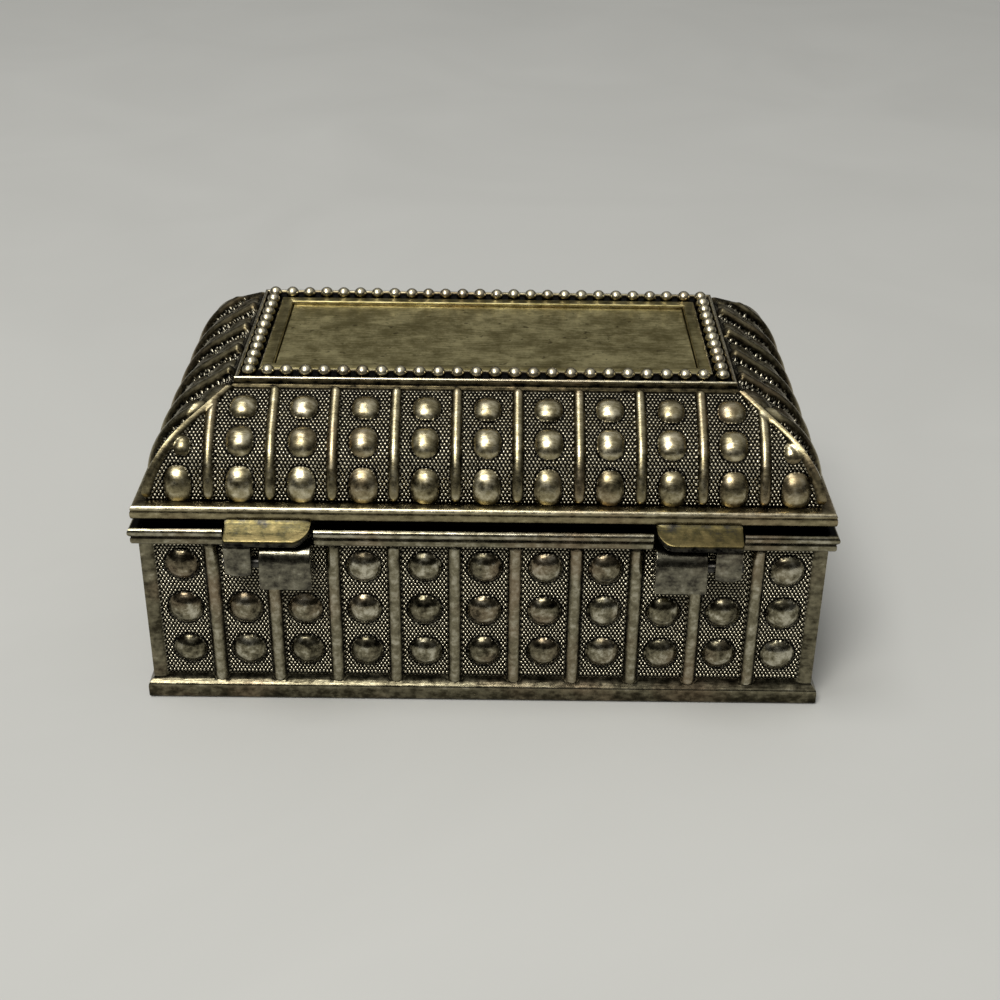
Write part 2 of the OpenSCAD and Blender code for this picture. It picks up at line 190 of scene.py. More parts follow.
@dataclass
class Draft:
    """Points and faces of one piece, gathered from several surfaces and made into one mesh.

    wear, relief grain and tone are kept per point for the finishes: wear is 1 on high metal and
    0 in the recesses, and below 0 where the metal is fully black, which on the faces of the seat
    gap between lid and base is painted shade; grain is 1 on granulated ground, and tone differs
    from boss to boss.
    The map "surface" holds millimetres along the surface, and the map "cell" the place inside
    the nearest boss, whose edge is at distance 1.
    """

    name: str
    points: list[np.ndarray] = field(default_factory=list)
    surface: list[np.ndarray] = field(default_factory=list)
    values: list[np.ndarray] = field(default_factory=list)
    corners: list[np.ndarray] = field(default_factory=list)
    totals: list[np.ndarray] = field(default_factory=list)
    cells: list[np.ndarray] = field(default_factory=list)
    count: int = 0

    def add_points(
        self,
        points: np.ndarray,
        surface: np.ndarray | None = None,
        wear_and_shade: np.ndarray | float = 0.8,
        grain: np.ndarray | float = 0.0,
        tone: np.ndarray | float = 0.5,
    ) -> int:
        """Adds points in millimetres and what the finishes read from them.

        Args:
            points: array whose last axis holds x, y and z.
            surface: matching array of millimetres along the surface, or None for x and z.
            wear_and_shade: wear per point or for all; values below 0 give full black, which on the faces of the seat
                gap is painted shade.
            grain: grain per point or for all.
            tone: tone per point or for all.

        Returns:
            The index of the first point added.
        """
        points = np.asarray(points, float).reshape(-1, 3)
        flat = points[:, [0, 2]] if surface is None else np.asarray(surface, float).reshape(-1, 2)
        parts = [np.broadcast_to(np.asarray(v, float).ravel(), len(points)) for v in (wear_and_shade, grain, tone)]
        self.points.append(points)
        self.surface.append(flat)
        self.values.append(np.stack(parts, axis=1))
        start = self.count
        self.count += len(points)
        return start

    def add_faces(self, faces: np.ndarray, cells: np.ndarray | None = None) -> None:
        """Adds faces that all have the same number of corners.

        Args:
            faces: one row of point indices per face.
            cells: two numbers per corner of every face, or None for a place far from any boss.
        """
        faces = np.atleast_2d(np.asarray(faces, int))
        self.corners.append(faces.ravel())
        self.totals.append(np.full(len(faces), faces.shape[1]))
        far = np.full((faces.size, 2), 3.0)
        self.cells.append(far if cells is None else np.asarray(cells, float).reshape(-1, 2))

    def make(
        self,
        body: str,
        material: bpy.types.Material,
        replaces: tuple[str, ...] = (),
        sharp_deg: float = 38.0,
    ) -> bpy.types.Object:
        """Makes the mesh, merges its seams, and hangs the piece on its body.

        Args:
            body: name of the body it rides on.
            material: its material.
            replaces: CAD nodes that it stands for.
            sharp_deg: edges that turn by more than this stay sharp.

        Returns:
            The finished object.
        """
        points = np.concatenate(self.points) * MM
        corners = np.concatenate(self.corners)
        totals = np.concatenate(self.totals)
        mesh = bpy.data.meshes.new(self.name)
        mesh.vertices.add(len(points))
        mesh.vertices.foreach_set("co", points.astype(np.float32).ravel())
        mesh.loops.add(len(corners))
        mesh.loops.foreach_set("vertex_index", corners.astype(np.int32))
        mesh.polygons.add(len(totals))
        starts = np.concatenate([[0], np.cumsum(totals)[:-1]])
        mesh.polygons.foreach_set("loop_start", starts.astype(np.int32))
        mesh.polygons.foreach_set("loop_total", totals.astype(np.int32))
        mesh.update(calc_edges=True)
        flat = np.concatenate(self.surface)[corners]
        mesh.uv_layers.new(name="surface").data.foreach_set("uv", flat.astype(np.float32).ravel())
        cells = np.concatenate(self.cells)
        mesh.uv_layers.new(name="cell").data.foreach_set("uv", cells.astype(np.float32).ravel())
        values = np.concatenate(self.values)
        for k, key in enumerate(("wear_and_shade", "grain", "tone")):
            layer = mesh.attributes.new(key, "FLOAT", "POINT")
            layer.data.foreach_set("value", values[:, k].astype(np.float32))
        merge_seams(mesh)
        mesh.shade_smooth()
        mesh.set_sharp_from_angle(angle=math.radians(sharp_deg))
        return hang(self.name, mesh, body, material, replaces)


def merge_seams(mesh: bpy.types.Mesh, distance: float = 3e-6) -> None:
    """Merges points that coincide, which closes seams and poles, and drops faces without area.

    Args:
        mesh: the mesh to mend.
        distance: points closer than this are one, in metres.
    """
    work = bmesh.new()
    work.from_mesh(mesh)
    bmesh.ops.remove_doubles(work, verts=work.verts, dist=distance)
    bmesh.ops.dissolve_degenerate(work, edges=work.edges, dist=distance / 10)
    work.to_mesh(mesh)
    work.free()


def hang(
    name: str,
    mesh: bpy.types.Mesh,
    body: str,
    material: bpy.types.Material,
    replaces: tuple[str, ...] = (),
) -> bpy.types.Object:
    """Makes an object of a mesh and hangs it on a body.

    Args:
        name: name of the piece.
        mesh: its mesh, in metres in the shared frame.
        body: name of the body it rides on.
        material: its material.
        replaces: CAD nodes that it stands for.

    Returns:
        The object.
    """
    piece = bpy.data.objects.new(name, mesh)
    bpy.context.scene.collection.objects.link(piece)
    mesh.materials.clear()
    mesh.materials.append(material)
    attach(piece, body)
    if replaces:
        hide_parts(*replaces)
    LOG.info("%s: %d faces on %s", name, len(mesh.polygons), body)
    return piece


def carry_round(draft: Draft, line: BeadLine, outline: np.ndarray) -> None:
    """Carries an outline round the bead rectangle as four flat-sided, mitred strips.

    A point of side k at column c = -1 or 1 lies at u = c (half length + reach).

    Args:
        draft: the piece that gets the strips.
        line: the bead rectangle.
        outline: rows of reach, height and wear (below 0 for full black, which is painted shade on the faces of the
            seat gap), in the order that keeps the outside on the left.
    """
    outline = np.asarray(outline, float)
    length = np.concatenate([[0], np.cumsum(np.linalg.norm(np.diff(outline[:, :2], axis=0), axis=1))])
    for side in Side:
        u = np.array([-1.0, 1.0])[None, :] * (line.half_along(side) + outline[:, :1])
        points = line.place(side, u, outline[:, :1], outline[:, 1:2])
        surface = np.stack([u, np.broadcast_to(length[:, None], u.shape)], axis=-1)
        start = draft.add_points(points, surface, wear_and_shade=np.broadcast_to(outline[:, 2:3], u.shape))
        draft.add_faces(grid_quads(len(outline), 2, start))


def carry_bar(draft: Draft, stations: np.ndarray, outline: np.ndarray) -> None:
    """Carries a closed outline along straight and mitred stations and closes both ends.

    A station (ax, bx, ay, by) puts reach r at x = ax + bx r and y = ay + by r.

    Args:
        draft: the piece that gets the bar.
        stations: one row of four numbers per station.
        outline: closed outline of reach, height and wear (below 0 for full black, which is painted shade on the
            faces of the seat gap), without its last point repeated.
    """
    outline, stations = np.asarray(outline, float), np.asarray(stations, float)
    ring = np.concatenate([outline, outline[:1]])
    x = stations[None, :, 0] + stations[None, :, 1] * ring[:, :1]
    y = stations[None, :, 2] + stations[None, :, 3] * ring[:, :1]
    z = np.broadcast_to(ring[:, 1:2], x.shape)
    wear_and_shade = np.broadcast_to(ring[:, 2:3], x.shape)
    start = draft.add_points(np.stack([x, y, z], axis=-1), wear_and_shade=wear_and_shade)
    cols = len(stations)
    draft.add_faces(grid_quads(len(ring), cols, start))
    rows = np.arange(len(outline))
    draft.add_faces(start + rows * cols)
    draft.add_faces(start + rows[::-1] * cols + cols - 1)


def add_node(
    tree: bpy.types.NodeTree,
    kind: str,
    settings: dict | None = None,
    inputs: dict | None = None,
) -> bpy.types.Node:
    """Adds one node with its settings and links.

    Args:
        tree: the node tree.
        kind: Blender's name of the node type.
        settings: properties of the node.
        inputs: socket name or number to a constant, or to the output socket that feeds it.

    Returns:
        The node.
    """
    node = tree.nodes.new(kind)
    for key, value in (settings or {}).items():
        setattr(node, key, value)
    for key, value in (inputs or {}).items():
        if isinstance(value, bpy.types.NodeSocket):
            tree.links.new(value, node.inputs[key])
        else:
            node.inputs[key].default_value = value
    return node


def new_material(name: str) -> tuple[bpy.types.Material, bpy.types.NodeTree, bpy.types.Node]:
    """Makes an empty node material with its shader and output.

    Args:
        name: name of the material.

    Returns:
        The material, its node tree and its Principled shader.
    """
    material = bpy.data.materials.new(name)
    material.use_nodes = True
    tree = material.node_tree
    tree.nodes.clear()
    shader = add_node(tree, "ShaderNodeBsdfPrincipled")
    add_node(tree, "ShaderNodeOutputMaterial", inputs={"Surface": shader.outputs["BSDF"]})
    return material, tree, shader


@dataclass(frozen=True)
class AntiquedSilverPlate:
    """Silver plate on a zinc alloy casting, blackened, then rubbed bright on its high parts.

    The eye sees near-black recesses with glossy grey-olive flanks, and worn tops of warm silver
    with fine scratches in every direction. Zinc and silver both reflect as bare metal. The ground
    between the ribs was granulated in the mould: small round grains 0.56 mm apart, each with
    a bright top in a black net.
    """

    name: str
    high: str = "dcd3b6"
    middle: str = "9a9070"
    low: str = "544c37"
    black: str = "080706"
    copper: str = "8f735c"
    grain_top: str = "e4dcc2"
    copper_share: float = 0.35
    tarnish: float = 0.6
    rough_low: float = 0.2
    rough_high: float = 0.4
    grain_pitch: float = 0.56
    calm: float = 0.5

    def material(self) -> bpy.types.Material:
        """Builds the node material.

        Returns:
            The material.
        """
        material, tree, shader = new_material(self.name)
        place = add_node(tree, "ShaderNodeTexCoord").outputs["Object"]
        wear_and_shade = add_node(tree, "ShaderNodeAttribute", {"attribute_name": "wear_and_shade"}).outputs["Fac"]
        grain = add_node(tree, "ShaderNodeAttribute", {"attribute_name": "grain"}).outputs["Fac"]
        tone = add_node(tree, "ShaderNodeAttribute", {"attribute_name": "tone"}).outputs["Fac"]
        cell = add_node(tree, "ShaderNodeUVMap", {"uv_map": "cell"}).outputs["UV"]

        # Tarnish in clouds 1.6 mm and 0.8 mm across, and scratches 0.15 mm wide
        clouds = add_node(
            tree,
            "ShaderNodeTexNoise",
            inputs={"Vector": place, "Scale": 620.0, "Detail": 5.0, "Roughness": 0.68},
        ).outputs["Fac"]
        specks = add_node(
            tree,
            "ShaderNodeTexNoise",
            inputs={"Vector": place, "Scale": 1250.0, "Detail": 3.0, "Roughness": 0.6},
        ).outputs["Fac"]
        patches = add_node(
            tree,
            "ShaderNodeTexNoise",
            inputs={"Vector": place, "Scale": 75.0, "Detail": 3.0, "Roughness": 0.55},
        ).outputs["Fac"]
        turned = add_node(
            tree,
            "ShaderNodeMapping",
            inputs={"Vector": place, "Rotation": (0.5, 0.7, 0.6), "Scale": (600.0, 5200.0, 1500.0)},
        ).outputs["Vector"]
        scratches = add_node(
            tree, "ShaderNodeTexNoise", inputs={"Vector": turned, "Scale": 1.0, "Detail": 2.0}
        ).outputs["Fac"]

        # How rubbed the metal is: its height, plus the boss's own tone and the clouds, which
        # are fainter off the bosses. Wear below 0 gives full black, which on the faces of the seat gap
        # between lid and base is painted shade
        radius = add_node(tree, "ShaderNodeVectorMath", {"operation": "LENGTH"}, {0: cell}).outputs["Value"]
        strength = add_node(
            tree,
            "ShaderNodeMapRange",
            inputs={
                "Value": radius,
                "From Min": 0.95,
                "From Max": 1.2,
                "To Min": 2.4 * self.tarnish,
                "To Max": 2.4 * self.tarnish * self.calm,
            },
        ).outputs["Result"]
        centred = add_node(tree, "ShaderNodeMath", {"operation": "SUBTRACT"}, {0: clouds, 1: 0.5}).outputs[0]
        lift = add_node(tree, "ShaderNodeMath", {"operation": "MULTIPLY"}, {0: centred, 1: strength}).outputs[0]
        lift = add_node(
            tree, "ShaderNodeMath", {"operation": "MULTIPLY_ADD"}, {0: tone, 1: 0.7, 2: lift}
        ).outputs[0]
        rubbed = add_node(tree, "ShaderNodeMath", {"operation": "ADD"}, {0: wear_and_shade, 1: lift}).outputs[0]
        rubbed = add_node(tree, "ShaderNodeMath", {"operation": "ADD"}, {0: rubbed, 1: -0.35}).outputs[0]
        rubbed = add_node(
            tree,
            "ShaderNodeMath",
            {"operation": "MULTIPLY_ADD"},
            {0: scratches, 1: 0.5, 2: rubbed},
        ).outputs[0]
        rubbed = add_node(tree, "ShaderNodeMath", {"operation": "ADD"}, {0: rubbed, 1: -0.25}).outputs[0]
        bands = add_node(tree, "ShaderNodeValToRGB", inputs={"Fac": rubbed})
        stops = bands.color_ramp
        stops.elements[0].position, stops.elements[0].color = 0.02, linear(self.black)
        stops.elements[1].position, stops.elements[1].color = 0.95, linear(self.high)
        for position, colour in ((0.3, self.low), (0.62, self.middle)):
            stops.elements.new(position).color = linear(colour)
        copper_mask = add_node(
            tree,
            "ShaderNodeMapRange",
            {"interpolation_type": "SMOOTHSTEP"},
            {"Value": patches, "From Min": 0.48, "From Max": 0.68, "To Max": self.copper_share},
        ).outputs["Result"]
        bare = add_node(
            tree,
            "ShaderNodeMapRange",
            inputs={"Value": rubbed, "From Min": 0.15, "From Max": 0.55},
        ).outputs["Result"]
        copper_mask = add_node(
            tree, "ShaderNodeMath", {"operation": "MULTIPLY"}, {0: copper_mask, 1: bare}
        ).outputs[0]
        metal = add_node(
            tree,
            "ShaderNodeMix",
            {"data_type": "RGBA"},
            {0: copper_mask, 6: bands.outputs["Color"], 7: linear(self.copper)},
        ).outputs[2]

        # Grains on a lattice of equal triangles: two rectangular lattices, the second shifted
        # by half a step each way, and the nearer point of the two counts
        pitch = self.grain_pitch
        even = add_node(tree, "ShaderNodeUVMap", {"uv_map": "surface"}).outputs["UV"]
        waver = add_node(
            tree, "ShaderNodeTexNoise", inputs={"Vector": even, "Scale": 0.9, "Detail": 1.0}
        ).outputs["Color"]
        flat = add_node(
            tree,
            "ShaderNodeVectorMath",
            {"operation": "MULTIPLY_ADD"},
            {0: waver, 1: (0.16, 0.16, 0.0), 2: even},
        ).outputs[0]
        near = []
        for shift in (0.0, 0.5):
            steps = add_node(
                tree,
                "ShaderNodeVectorMath",
                {"operation": "MULTIPLY_ADD"},
                {0: flat, 1: (1 / pitch, 1 / (pitch * math.sqrt(3)), 0), 2: (shift, shift, 0)},
            ).outputs[0]
            part = add_node(tree, "ShaderNodeVectorMath", {"operation": "FRACTION"}, {0: steps}).outputs[0]
            part = add_node(
                tree,
                "ShaderNodeVectorMath",
                {"operation": "MULTIPLY_ADD"},
                {0: part, 1: (2.0, 2 * math.sqrt(3), 0), 2: (-1.0, -math.sqrt(3), 0)},
            ).outputs[0]
            near.append(
                add_node(
                    tree, "ShaderNodeVectorMath", {"operation": "LENGTH"}, {0: part}
                ).outputs["Value"]
            )
        nearest = add_node(
            tree, "ShaderNodeMath", {"operation": "MINIMUM"}, {0: near[0], 1: near[1]}
        ).outputs[0]
        grain_dome = add_node(
            tree,
            "ShaderNodeMapRange",
            {"interpolation_type": "SMOOTHSTEP"},
            {"Value": nearest, "From Min": 1.0, "From Max": 0.15},
        ).outputs["Result"]
        grain_bright = add_node(
            tree,
            "ShaderNodeMapRange",
            {"interpolation_type": "SMOOTHSTEP"},
            {"Value": nearest, "From Min": 0.84, "From Max": 0.46},
        ).outputs["Result"]
        worn_grain = add_node(
            tree,
            "ShaderNodeMapRange",
            inputs={"Value": specks, "From Min": 0.3, "From Max": 0.6, "To Min": 0.6, "To Max": 1.0},
        ).outputs["Result"]
        grain_bright = add_node(
            tree, "ShaderNodeMath", {"operation": "MULTIPLY"}, {0: grain_bright, 1: worn_grain}
        ).outputs[0]
        ground = add_node(
            tree,
            "ShaderNodeMix",
            {"data_type": "RGBA"},
            {0: grain_bright, 6: linear(self.black), 7: linear(self.grain_top)},
        ).outputs[2]
        surface = add_node(
            tree, "ShaderNodeMix", {"data_type": "RGBA"}, {0: grain, 6: metal, 7: ground}
        ).outputs[2]

        # The groove round each boss holds the blackening: dark just outside the boss's edge
        inside = add_node(
            tree,
            "ShaderNodeMapRange",
            {"interpolation_type": "SMOOTHSTEP"},
            {"Value": radius, "From Min": 0.975, "From Max": 1.01},
        ).outputs["Result"]
        outside = add_node(
            tree,
            "ShaderNodeMapRange",
            {"interpolation_type": "SMOOTHSTEP"},
            {"Value": radius, "From Min": 1.12, "From Max": 1.06},
        ).outputs["Result"]
        groove = add_node(tree, "ShaderNodeMath", {"operation": "MULTIPLY"}, {0: inside, 1: outside}).outputs[0]
        groove = add_node(tree, "ShaderNodeMath", {"operation": "MULTIPLY"}, {0: groove, 1: 0.92}).outputs[0]
        colour = add_node(
            tree,
            "ShaderNodeMix",
            {"data_type": "RGBA"},
            {0: groove, 6: surface, 7: linear(self.black)},
        ).outputs[2]

        rough = add_node(
            tree,
            "ShaderNodeMapRange",
            inputs={
                "Value": specks,
                "From Min": 0.3,
                "From Max": 0.7,
                "To Min": self.rough_low,
                "To Max": self.rough_high,
            },
        ).outputs["Result"]

        # Grains stand 0.18 mm high; pits and scratches are about 0.02 mm deep
        grain_height = add_node(
            tree, "ShaderNodeMath", {"operation": "MULTIPLY"}, {0: grain_dome, 1: grain}
        ).outputs[0]
        fine = add_node(tree, "ShaderNodeMath", {"operation": "ADD"}, {0: specks, 1: scratches}).outputs[0]
        bump_fine = add_node(
            tree,
            "ShaderNodeBump",
            inputs={"Height": fine, "Strength": 0.35, "Distance": 0.00004},
        ).outputs["Normal"]
        bump = add_node(
            tree,
            "ShaderNodeBump",
            inputs={
                "Height": grain_height,
                "Strength": 1.0,
                "Distance": 0.00018,
                "Normal": bump_fine,
            },
        ).outputs["Normal"]
        tree.links.new(colour, shader.inputs["Base Color"])
        tree.links.new(rough, shader.inputs["Roughness"])
        tree.links.new(bump, shader.inputs["Normal"])
        shader.inputs["Metallic"].default_value = 1.0
        return material


@dataclass(frozen=True)
class SatinPlate:
    """Rolled sheet metal, silver plated and rubbed satin, tarnished olive-brown in clouds.

    The eye sees a soft sheen with fine scratches along the plate, darker and browner
    towards one end, and small dark specks.
    """

    name: str
    clear: str = "eee2ab"
    tarnished: str = "a99c66"
    speck: str = "5a4f2c"

    def material(self) -> bpy.types.Material:
        """Builds the node material.

        Returns:
            The material.
        """
        material, tree, shader = new_material(self.name)
        place = add_node(tree, "ShaderNodeTexCoord").outputs["Object"]
        clouds = add_node(
            tree,
            "ShaderNodeTexNoise",
            inputs={"Vector": place, "Scale": 170.0, "Detail": 8.0, "Roughness": 0.8},
        ).outputs["Fac"]
        # Scratches run askew: 3 mm long and 0.2 mm wide
        stretched = add_node(
            tree,
            "ShaderNodeMapping",
            inputs={"Vector": place, "Rotation": (0.0, 0.0, 0.5), "Scale": (330.0, 4500.0, 4500.0)},
        ).outputs["Vector"]
        lines = add_node(
            tree, "ShaderNodeTexNoise", inputs={"Vector": stretched, "Scale": 1.0, "Detail": 3.0}
        ).outputs["Fac"]
        specks = add_node(
            tree,
            "ShaderNodeTexNoise",
            inputs={"Vector": place, "Scale": 900.0, "Detail": 2.0},
        ).outputs["Fac"]
        amount = add_node(
            tree, "ShaderNodeMath", {"operation": "MULTIPLY_ADD"}, {0: lines, 1: 0.5, 2: clouds}
        ).outputs[0]
        share = add_node(
            tree,
            "ShaderNodeMapRange",
            {"interpolation_type": "SMOOTHSTEP"},
            {"Value": amount, "From Min": 0.6, "From Max": 0.92},
        ).outputs["Result"]
        colour = add_node(
            tree,
            "ShaderNodeMix",
            {"data_type": "RGBA"},
            {0: share, 6: linear(self.tarnished), 7: linear(self.clear)},
        ).outputs[2]
        dots = add_node(
            tree,
            "ShaderNodeMapRange",
            {"interpolation_type": "SMOOTHSTEP"},
            {"Value": specks, "From Min": 0.66, "From Max": 0.74, "To Max": 0.7},
        ).outputs["Result"]
        colour = add_node(
            tree, "ShaderNodeMix", {"data_type": "RGBA"}, {0: dots, 6: colour, 7: linear(self.speck)}
        ).outputs[2]
        rough = add_node(
            tree,
            "ShaderNodeMapRange",
            inputs={"Value": clouds, "From Min": 0.3, "From Max": 0.7, "To Min": 0.3, "To Max": 0.44},
        ).outputs["Result"]
        bump = add_node(
            tree,
            "ShaderNodeBump",
            inputs={"Height": lines, "Strength": 0.4, "Distance": 0.00003},
        ).outputs["Normal"]
        tree.links.new(colour, shader.inputs["Base Color"])
        tree.links.new(rough, shader.inputs["Roughness"])
        tree.links.new(bump, shader.inputs["Normal"])
        shader.inputs["Metallic"].default_value = 1.0
        return material


@dataclass(frozen=True)
class DrawnSteel:
    """Drawn steel wire, dull, with fine rings left by the drawing die."""

    name: str
    colour: str = "5d5b57"
    dark: str = "2b2a28"

    def material(self) -> bpy.types.Material:
        """Builds the node material.

        Returns:
            The material.
        """
        material, tree, shader = new_material(self.name)
        place = add_node(tree, "ShaderNodeTexCoord").outputs["Object"]
        stretched = add_node(
            tree, "ShaderNodeMapping", inputs={"Vector": place, "Scale": (300.0, 4500.0, 4500.0)}
        ).outputs["Vector"]
        lines = add_node(
            tree, "ShaderNodeTexNoise", inputs={"Vector": stretched, "Scale": 1.0, "Detail": 3.0}
        ).outputs["Fac"]
        colour = add_node(
            tree,
            "ShaderNodeMix",
            {"data_type": "RGBA"},
            {0: lines, 6: linear(self.dark), 7: linear(self.colour)},
        ).outputs[2]
        bump = add_node(
            tree, "ShaderNodeBump", inputs={"Height": lines, "Strength": 0.3, "Distance": 0.00003}
        ).outputs["Normal"]
        tree.links.new(colour, shader.inputs["Base Color"])
        tree.links.new(bump, shader.inputs["Normal"])
        shader.inputs["Metallic"].default_value = 1.0
        shader.inputs["Roughness"].default_value = 0.36
        return material


@dataclass(frozen=True)
class CutPileVelvet:
    """Short cut-pile velvet: soft, deep colour that pales where the pile lies over.

    The pile is about 0.8 mm deep with tufts 0.3 mm across; strokes of the hand leave patches
    8 mm wide that look paler.
    """

    name: str
    deep: str = "4a0a18"
    pale: str = "7d1b30"

    def material(self) -> bpy.types.Material:
        """Builds the node material.

        Returns:
            The material.
        """
        material, tree, shader = new_material(self.name)
        place = add_node(tree, "ShaderNodeTexCoord").outputs["Object"]
        strokes = add_node(
            tree,
            "ShaderNodeTexNoise",
            inputs={"Vector": place, "Scale": 120.0, "Detail": 4.0, "Roughness": 0.6},
        ).outputs["Fac"]
        tufts = add_node(
            tree,
            "ShaderNodeTexNoise",
            inputs={"Vector": place, "Scale": 3300.0, "Detail": 2.0, "Roughness": 0.7},
        ).outputs["Fac"]
        share = add_node(
            tree, "ShaderNodeMath", {"operation": "MULTIPLY_ADD"}, {0: tufts, 1: 0.6, 2: strokes}
        ).outputs[0]
        share = add_node(
            tree,
            "ShaderNodeMapRange",
            {"interpolation_type": "SMOOTHSTEP"},
            {"Value": share, "From Min": 0.6, "From Max": 1.05},
        ).outputs["Result"]
        colour = add_node(
            tree,
            "ShaderNodeMix",
            {"data_type": "RGBA"},
            {0: share, 6: linear(self.deep), 7: linear(self.pale)},
        ).outputs[2]
        bump = add_node(
            tree, "ShaderNodeBump", inputs={"Height": tufts, "Strength": 0.8, "Distance": 0.0003}
        ).outputs["Normal"]
        tree.links.new(colour, shader.inputs["Base Color"])
        tree.links.new(bump, shader.inputs["Normal"])
        shader.inputs["Roughness"].default_value = 0.92
        shader.inputs["Specular IOR Level"].default_value = 0.15
        shader.inputs["Sheen Weight"].default_value = 0.6
        shader.inputs["Sheen Roughness"].default_value = 0.35
        shader.inputs["Sheen Tint"].default_value = linear("c2546c")
        return material


@dataclass(frozen=True)
class FibreSheet:
    """Matted fibres, as pressed felt or grey board: dull, with flecks of two tones."""

    name: str
    dark: str
    light: str
    fleck_scale: float = 1400.0
    depth: float = 0.0002

    def material(self) -> bpy.types.Material:
        """Builds the node material.

        Returns:
            The material.
        """
        material, tree, shader = new_material(self.name)
        place = add_node(tree, "ShaderNodeTexCoord").outputs["Object"]
        flecks = add_node(
            tree,
            "ShaderNodeTexNoise",
            inputs={"Vector": place, "Scale": self.fleck_scale, "Detail": 5.0, "Distortion": 0.8},
        ).outputs["Fac"]
        share = add_node(
            tree,
            "ShaderNodeMapRange",
            inputs={"Value": flecks, "From Min": 0.35, "From Max": 0.65},
        ).outputs["Result"]
        colour = add_node(
            tree,
            "ShaderNodeMix",
            {"data_type": "RGBA"},
            {0: share, 6: linear(self.dark), 7: linear(self.light)},
        ).outputs[2]
        bump = add_node(
            tree,
            "ShaderNodeBump",
            inputs={"Height": flecks, "Strength": 0.6, "Distance": self.depth},
        ).outputs["Normal"]
        tree.links.new(colour, shader.inputs["Base Color"])
        tree.links.new(bump, shader.inputs["Normal"])
        shader.inputs["Roughness"].default_value = 0.95
        shader.inputs["Specular IOR Level"].default_value = 0.2
        return material


@dataclass(frozen=True)
class Boss:
    """One raised boss: its centre, half sizes and height in millimetres, and its tone."""

    u: float
    v: float
    half_u: float
    half_v: float
    height: float
    tone: float


def boss_radius(u: np.ndarray, v: np.ndarray, boss: Boss, power: float) -> np.ndarray:
    """Distance from a boss's centre as a share of its edge: (|du|^p + |dv|^p)^(1/p).

    Args:
        u: places along the side.
        v: places up the surface.
        boss: the boss.
        power: 2 for an ellipse, more for a squarer oval.

    Returns:
        0 at the centre and 1 at the edge.
    """
    across = np.abs(u - boss.u) / boss.half_u
    upward = np.abs(v - boss.v) / boss.half_v
    return (across**power + upward**power) ** (1 / power)


